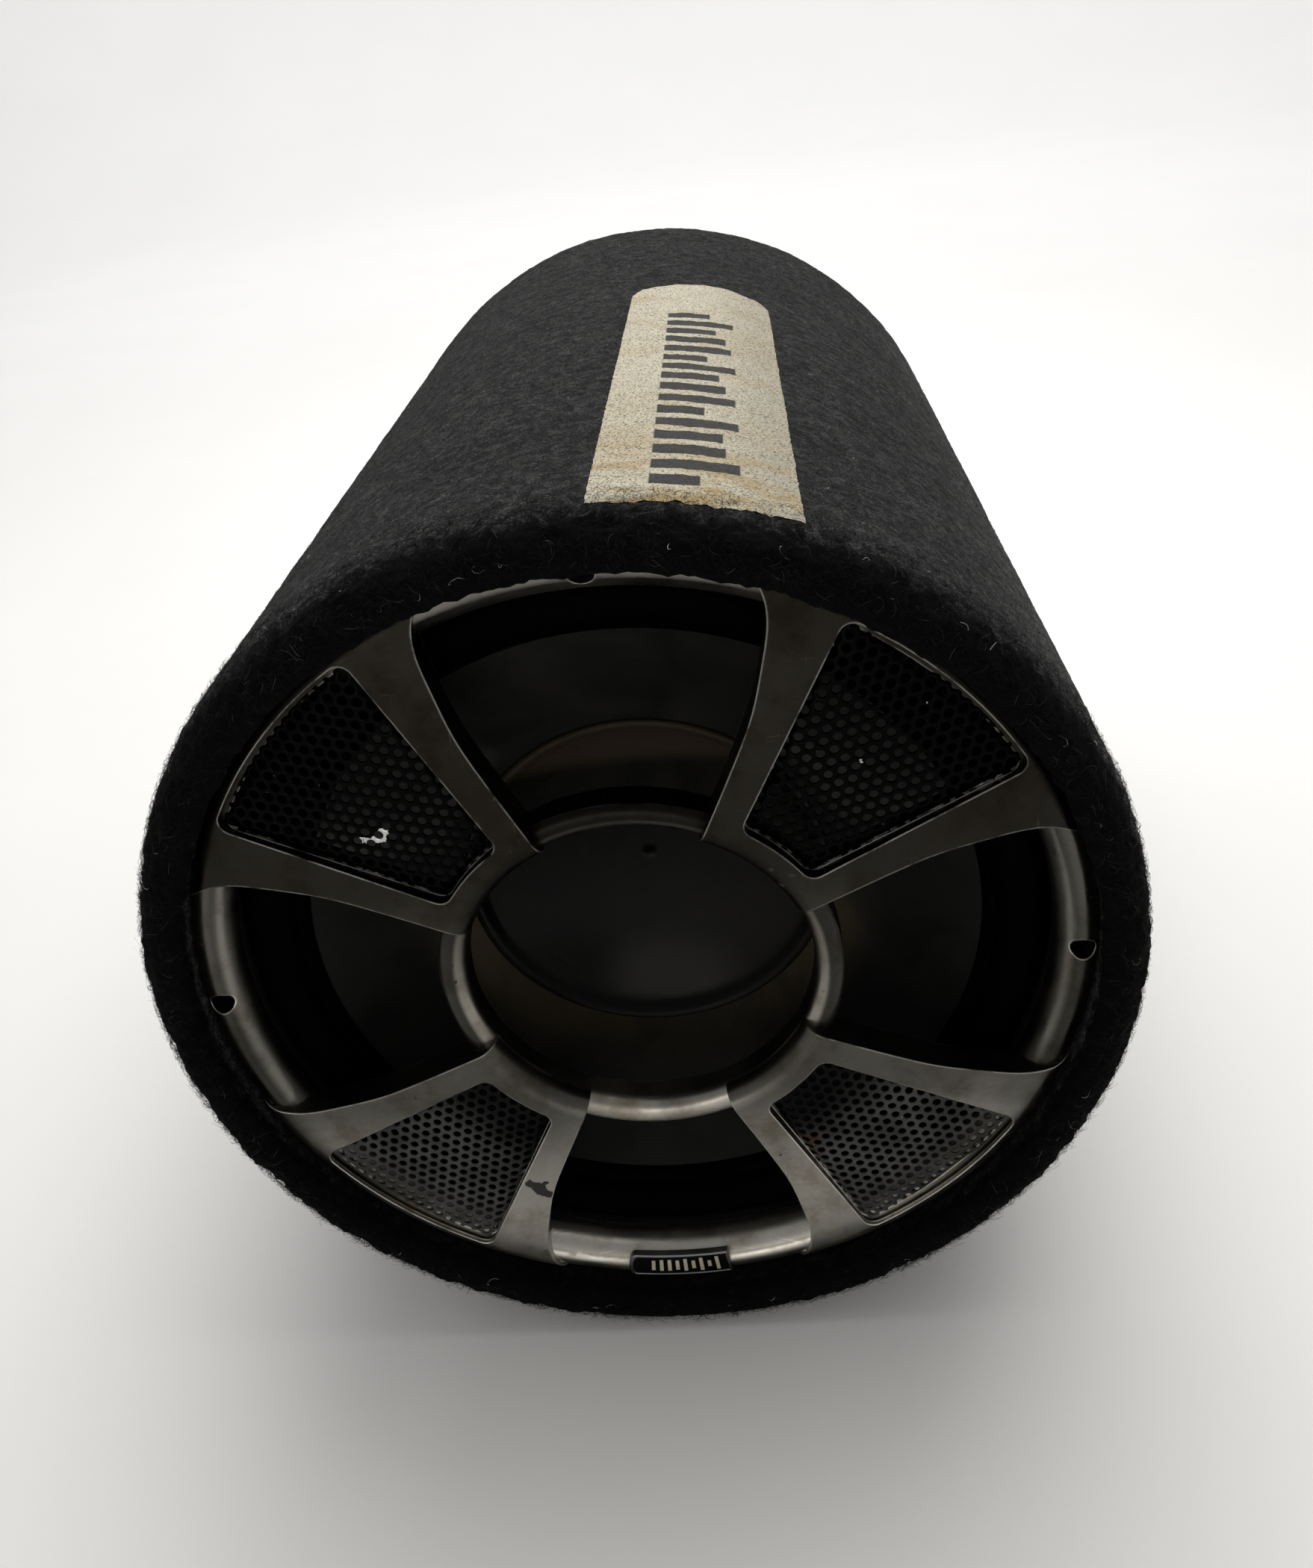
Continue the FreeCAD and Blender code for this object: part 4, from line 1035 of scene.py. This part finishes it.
def make_cap(paint):
    """Concave dust cap: a beaded rim glued on the cone, and a shallow bowl."""
    rim_r, rim_depth, sink = 66.6 * MM, 80 * MM, 17 * MM
    sphere = (rim_r**2 + sink**2) / (2 * sink)
    front = [(0.0005 * MM, rim_depth + sink)]
    for r in np.linspace(4 * MM, 64.5 * MM, 26):
        front.append((r, rim_depth + sink - (sphere - sqrt(sphere**2 - r**2))))
    front += [(65.8 * MM, rim_depth + 0.1 * MM), (66.8 * MM, rim_depth - 1.2 * MM)]
    seat = cone_depth(71.5 * MM)
    front += [(67.6 * MM, seat + 0.3 * MM), (68.8 * MM, seat - 0.9 * MM), (70.2 * MM, seat - 1.25 * MM)]
    front += [(71.1 * MM, seat - 0.75 * MM), (71.45 * MM, seat - 0.05 * MM)]
    back = [(66.9 * MM, cone_depth(66.9 * MM) - 0.05 * MM), (64.8 * MM, cone_depth(64.8 * MM) - 0.3 * MM)]
    for r in np.linspace(60 * MM, 0.0005 * MM, 12):
        back.append((r, rim_depth + sink + 1 * MM - (sphere - sqrt(sphere**2 - r**2))))
    verts, faces = spun(front + back, 160)
    piece = new_piece("cap_bowl", verts, faces, paint, CONE)
    keep_outside(piece)
    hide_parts("dust_cap")


def radial_blend(piece):
    """Bakes a round suspension part's placing into its vertices."""
    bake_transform(piece)


def make_surround(paint):
    """Half-roll rubber ring between the edge of the cone and the basket."""
    inner, outer, base = 127.6 * MM, 147.0 * MM, 40.8 * MM
    mid, half = (inner + outer) / 2, (outer - inner) / 2
    lip = 123.5 * MM
    front = [(lip, cone_depth(lip) - 1.3 * MM), (inner - 1.0 * MM, cone_depth(inner) - 1.7 * MM)]
    front += arc((mid, base), (half, 8.6 * MM), -172, -8, 26)
    front += [(149.3 * MM, base)]
    back = [(149.3 * MM, base + 1.1 * MM), (outer - 0.4 * MM, base + 1.1 * MM)]
    back += arc((mid, base + 0.9 * MM), (half - 1.2 * MM, 8.4 * MM), -12, -168, 18)
    back += [(inner - 0.4 * MM, cone_depth(inner) - 0.5 * MM), (lip, cone_depth(lip) - 0.35 * MM)]
    verts, faces = spun(front + back, 192)
    piece = free_piece("surround_roll", verts, faces, paint)
    keep_outside(piece)
    radial_blend(piece)
    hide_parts("surround")


def make_spider(paint):
    """Corrugated centring disc."""
    r0, r1, thick, depth = 26.1 * MM, 69 * MM, 0.6 * MM, 111.4 * MM
    top = []
    for r in np.linspace(r0, r1, 90):
        t = (r - r0) / (r1 - r0)
        swell = min(1.0, t * 8, (1 - t) * 8)
        top.append((r, depth - 2.2 * MM * swell * sin(2 * pi * 5 * t)))
    top.append((79.5 * MM, depth))
    back = [(r, d + thick - 0.05 * MM) for r, d in reversed(top)]
    verts, faces = spun(top + back, 128)
    piece = free_piece("spider_disc", verts, faces, paint)
    keep_outside(piece)
    radial_blend(piece)
    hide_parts("spider")


def make_tinsel(name, paint, node, side):
    """Braided lead between the strip's lug and the back of the cone."""
    points = [(22, 93.4, -108), (21, 97, -82), (17, 98, -66), (12, 95, -50)]
    curve = bpy.data.curves.new(name, "CURVE")
    curve.dimensions = "3D"
    curve.bevel_depth = 1.0 * MM
    curve.bevel_resolution = 3
    curve.use_fill_caps = True
    spline = curve.splines.new("NURBS")
    spline.points.add(len(points) - 1)
    for point, (x, depth, up) in zip(spline.points, points):
        point.co = (side * x * MM, FRONT + depth * MM, AXIS_Z + up * MM, 1)
    spline.use_endpoint_u = True
    spline.order_u = 3
    holder = bpy.data.objects.new(name + "_line", curve)
    mesh = bpy.data.meshes.new_from_object(holder)
    mesh.materials.clear()
    mesh.materials.append(paint)
    bpy.data.objects.remove(holder)
    piece = put(name, mesh)
    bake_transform(piece)
    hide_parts(node)


# ---------------------------------------------------------------- rear
def make_rear_felt(paint):
    """Felt disc on the rear panel, cut out round the port and the terminal cup."""
    low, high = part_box("rear_carpet")
    step, radius = 2.5 * MM, (high.x - low.x) / 2
    depth = high.y
    verts, faces, index = [], [], {}

    def corner(i, k):
        if (i, k) not in index:
            x, up = i * step, k * step
            r = hypot(x, up)
            if r > radius:
                x, up = x * radius / r, up * radius / r
            point = Vector((x, depth, AXIS_Z + up))
            rise = 0.35 * MM * noise.noise(point * 150) + 0.3 * MM * noise.noise(point * 420)
            index[i, k] = len(verts)
            verts.append(point + Vector((0, rise, 0)))
        return index[i, k]

    reach = int(radius / step) + 1
    for i in range(-reach, reach):
        for k in range(-reach, reach):
            x, up = (i + 0.5) * step, (k + 0.5) * step
            in_port = hypot(x, up - PORT_UP) < PORT_HOLE
            in_cup = abs(x) < CUP_HALF[0] and abs(up - CUP_UP) < CUP_HALF[1]
            if hypot(x, up) < radius + 0.5 * step and not in_port and not in_cup:
                faces.append((corner(i, k), corner(i, k + 1), corner(i + 1, k + 1), corner(i + 1, k)))
    piece = new_piece("rear_felt", verts, faces, paint)
    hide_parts("rear_carpet")


def make_wadding(paint):
    """Lumpy polyester lining of the tube."""
    low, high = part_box("damping_wadding")
    start, end = low.y - FRONT, high.y - FRONT
    outer = (high.x - low.x) / 2 - 0.5 * MM
    path = run((outer, start), (outer - 14 * MM, start), 5 * MM)
    path += run((outer - 14 * MM, start), (outer - 14 * MM, end), 8 * MM)
    path += run((outer - 14 * MM, end), (outer, end), 5 * MM)
    verts, faces = spun(path, 110)
    moved = []
    for v in verts:
        out = Vector((v.x, 0, v.z - AXIS_Z))
        r = out.length
        lift = (noise.noise(v * 30) * 4 * MM + noise.noise(v * 90) * 1.5 * MM) if r < outer - 10 * MM else 0
        moved.append(v - out.normalized() * max(lift, -1 * MM))
    piece = new_piece("wadding_roll", moved, faces, paint)
    keep_outside(piece)
    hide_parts("damping_wadding")


# ---------------------------------------------------------------- everything
def dress(names, paint):
    for name in names:
        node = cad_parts[name]
        node.data.materials.clear()
        node.data.materials.append(paint)


def main():
    place_camera()
    light_scene()
    make_floor()

    felt = felt_paint()
    black_fibre = fibre_paint("fibre_black", (0.010,) * 3)
    # painted shade: the lip's fibres are a darker copy of the black fibres, for the lip in shade
    shaded_lip_fibre = fibre_paint("fibre_lip_shaded", (0.0028,) * 3)
    grey_fibre = fibre_paint("fibre_grey", (0.05, 0.05, 0.052))
    lint = fibre_paint("fibre_lint", (0.35, 0.35, 0.34))
    thin = 1.0

    make_wrap(felt)
    fine, coarse = (0.05, 0.10), (0.08, 0.16)
    # name, paint, how many, where; length, rise and half width in millimetres; how much it curls
    for name, paint, count, where, length, rise, width, curl in (
        ("fuzz_side", black_fibre, 26000 * thin, on_side, (1, 3.6), (0.1, 0.9), fine, 2.2),
        ("fuzz_side_grey", grey_fibre, 9000 * thin, on_side, (1, 4), (0.1, 0.8), fine, 2.2),
        ("fuzz_lip", shaded_lip_fibre, 18000 * thin, on_lip, (3, 8), (0.3, 1.9), fine, 2.2),
        ("fuzz_lip_grey", grey_fibre, 700 * thin, on_lip, (3, 8), (0.3, 1.8), fine, 2.2),
        ("fuzz_rear", black_fibre, 5000 * thin, on_rear, (2, 6), (0.2, 1.1), fine, 2.2),
        ("lint_side", lint, 260, on_side, (0.6, 3), (0.2, 0.7), coarse, 4.0),
        ("lint_lip", lint, 90, on_lip, (0.8, 5), (0.4, 1.8), coarse, 4.0),
    ):
        make_fuzz(name, paint, int(count), where, length, rise, width, curl)
    make_label(label_paint())

    dress(["grille_base"], gunmetal_paint("gunmetal_ring", 1.0))
    dress(["mesh_frame_" + place for place in POD_ANGLES], gunmetal_paint("gunmetal_cover", 0.0))
    enamel = mesh_paint()
    for place, angle in POD_ANGLES.items():
        make_mesh(place, angle, enamel)
    badge_black = plastic_paint("badge_black", (0.0015, 0.0015, 0.0017), 0.35, 900, 0.02, wear=0.1,
                                specular_ior_level=0.12)
    silver = metal_paint("badge_silver", (0.30,) * 3, 0.35)
    make_badge(badge_black, silver, plastic_paint("badge_cream", (0.46, 0.42, 0.30), 0.5, 900, 0.02))

    make_cone(cone_paint())
    make_cap(cap_paint())
    make_surround(rubber_paint("surround_rubber"))
    make_spider(weave_paint("spider_weave", (0.62, 0.47, 0.20)))
    braid = metal_paint("lead_braid", (0.62, 0.56, 0.46), 0.45)
    make_tinsel("tinsel_braid_left", braid, "tinsel_lead_left", -1)
    make_tinsel("tinsel_braid_right", braid, "tinsel_lead_right", 1)

    make_rear_felt(felt)
    make_wadding(wool_paint("wadding_wool", (0.72, 0.72, 0.70)))

    black_metal = metal_paint("screw_black", (0.035, 0.034, 0.033), 0.35, 0.3)
    steel = metal_paint("plated_steel", (0.5, 0.5, 0.48), 0.3, 0.2)
    for names, paint in (
        ("grille_screws driver_screws cup_screws", black_metal),
        ("front_gasket", rubber_paint("gasket_foam", (0.016,) * 3)),
        ("driver_basket", metal_paint("basket_enamel", (0.03, 0.03, 0.031), 0.4)),
        ("voice_coil_former", metal_paint("former_foil", (0.62, 0.62, 0.63), 0.3)),
        ("voice_coil_winding", metal_paint("winding_copper", (0.55, 0.24, 0.10), 0.3)),
        ("top_plate pole_and_back_plate lever_pin", steel),
        ("ring_magnet", plastic_paint("ferrite", (0.045, 0.045, 0.048), 0.55, 600, 0.1)),
        ("enclosure_tube", board_paint("wound_board", (0.36, 0.26, 0.17), (0.26, 0.18, 0.11))),
        ("front_baffle rear_panel", board_paint("fibreboard", (0.42, 0.31, 0.19), (0.30, 0.21, 0.12))),
        ("driver_terminal_strip", board_paint("strip_board", (0.22, 0.11, 0.05), (0.14, 0.07, 0.03))),
        ("port_tube", plastic_paint("port_plastic", (0.014,) * 3, 0.45, 1300, 0.06)),
        ("terminal_cup", plastic_paint("cup_plastic", (0.012,) * 3, 0.42, 1300, 0.06)),
        ("cup_contact_left cup_contact_right", metal_paint("contact_brass", (0.70, 0.50, 0.22), 0.25)),
        ("push_lever_left", plastic_paint("lever_black", (0.016, 0.016, 0.017), 0.35, 1100, 0.04)),
        ("push_lever_right", plastic_paint("lever_red", (0.42, 0.018, 0.012), 0.35, 1100, 0.04)),
        ("internal_wire_left", plastic_paint("wire_black", (0.015,) * 3, 0.45, 700, 0.05)),
        ("internal_wire_right", plastic_paint("wire_red", (0.40, 0.02, 0.015), 0.45, 700, 0.05)),
    ):
        dress(names.split(), paint)


main()
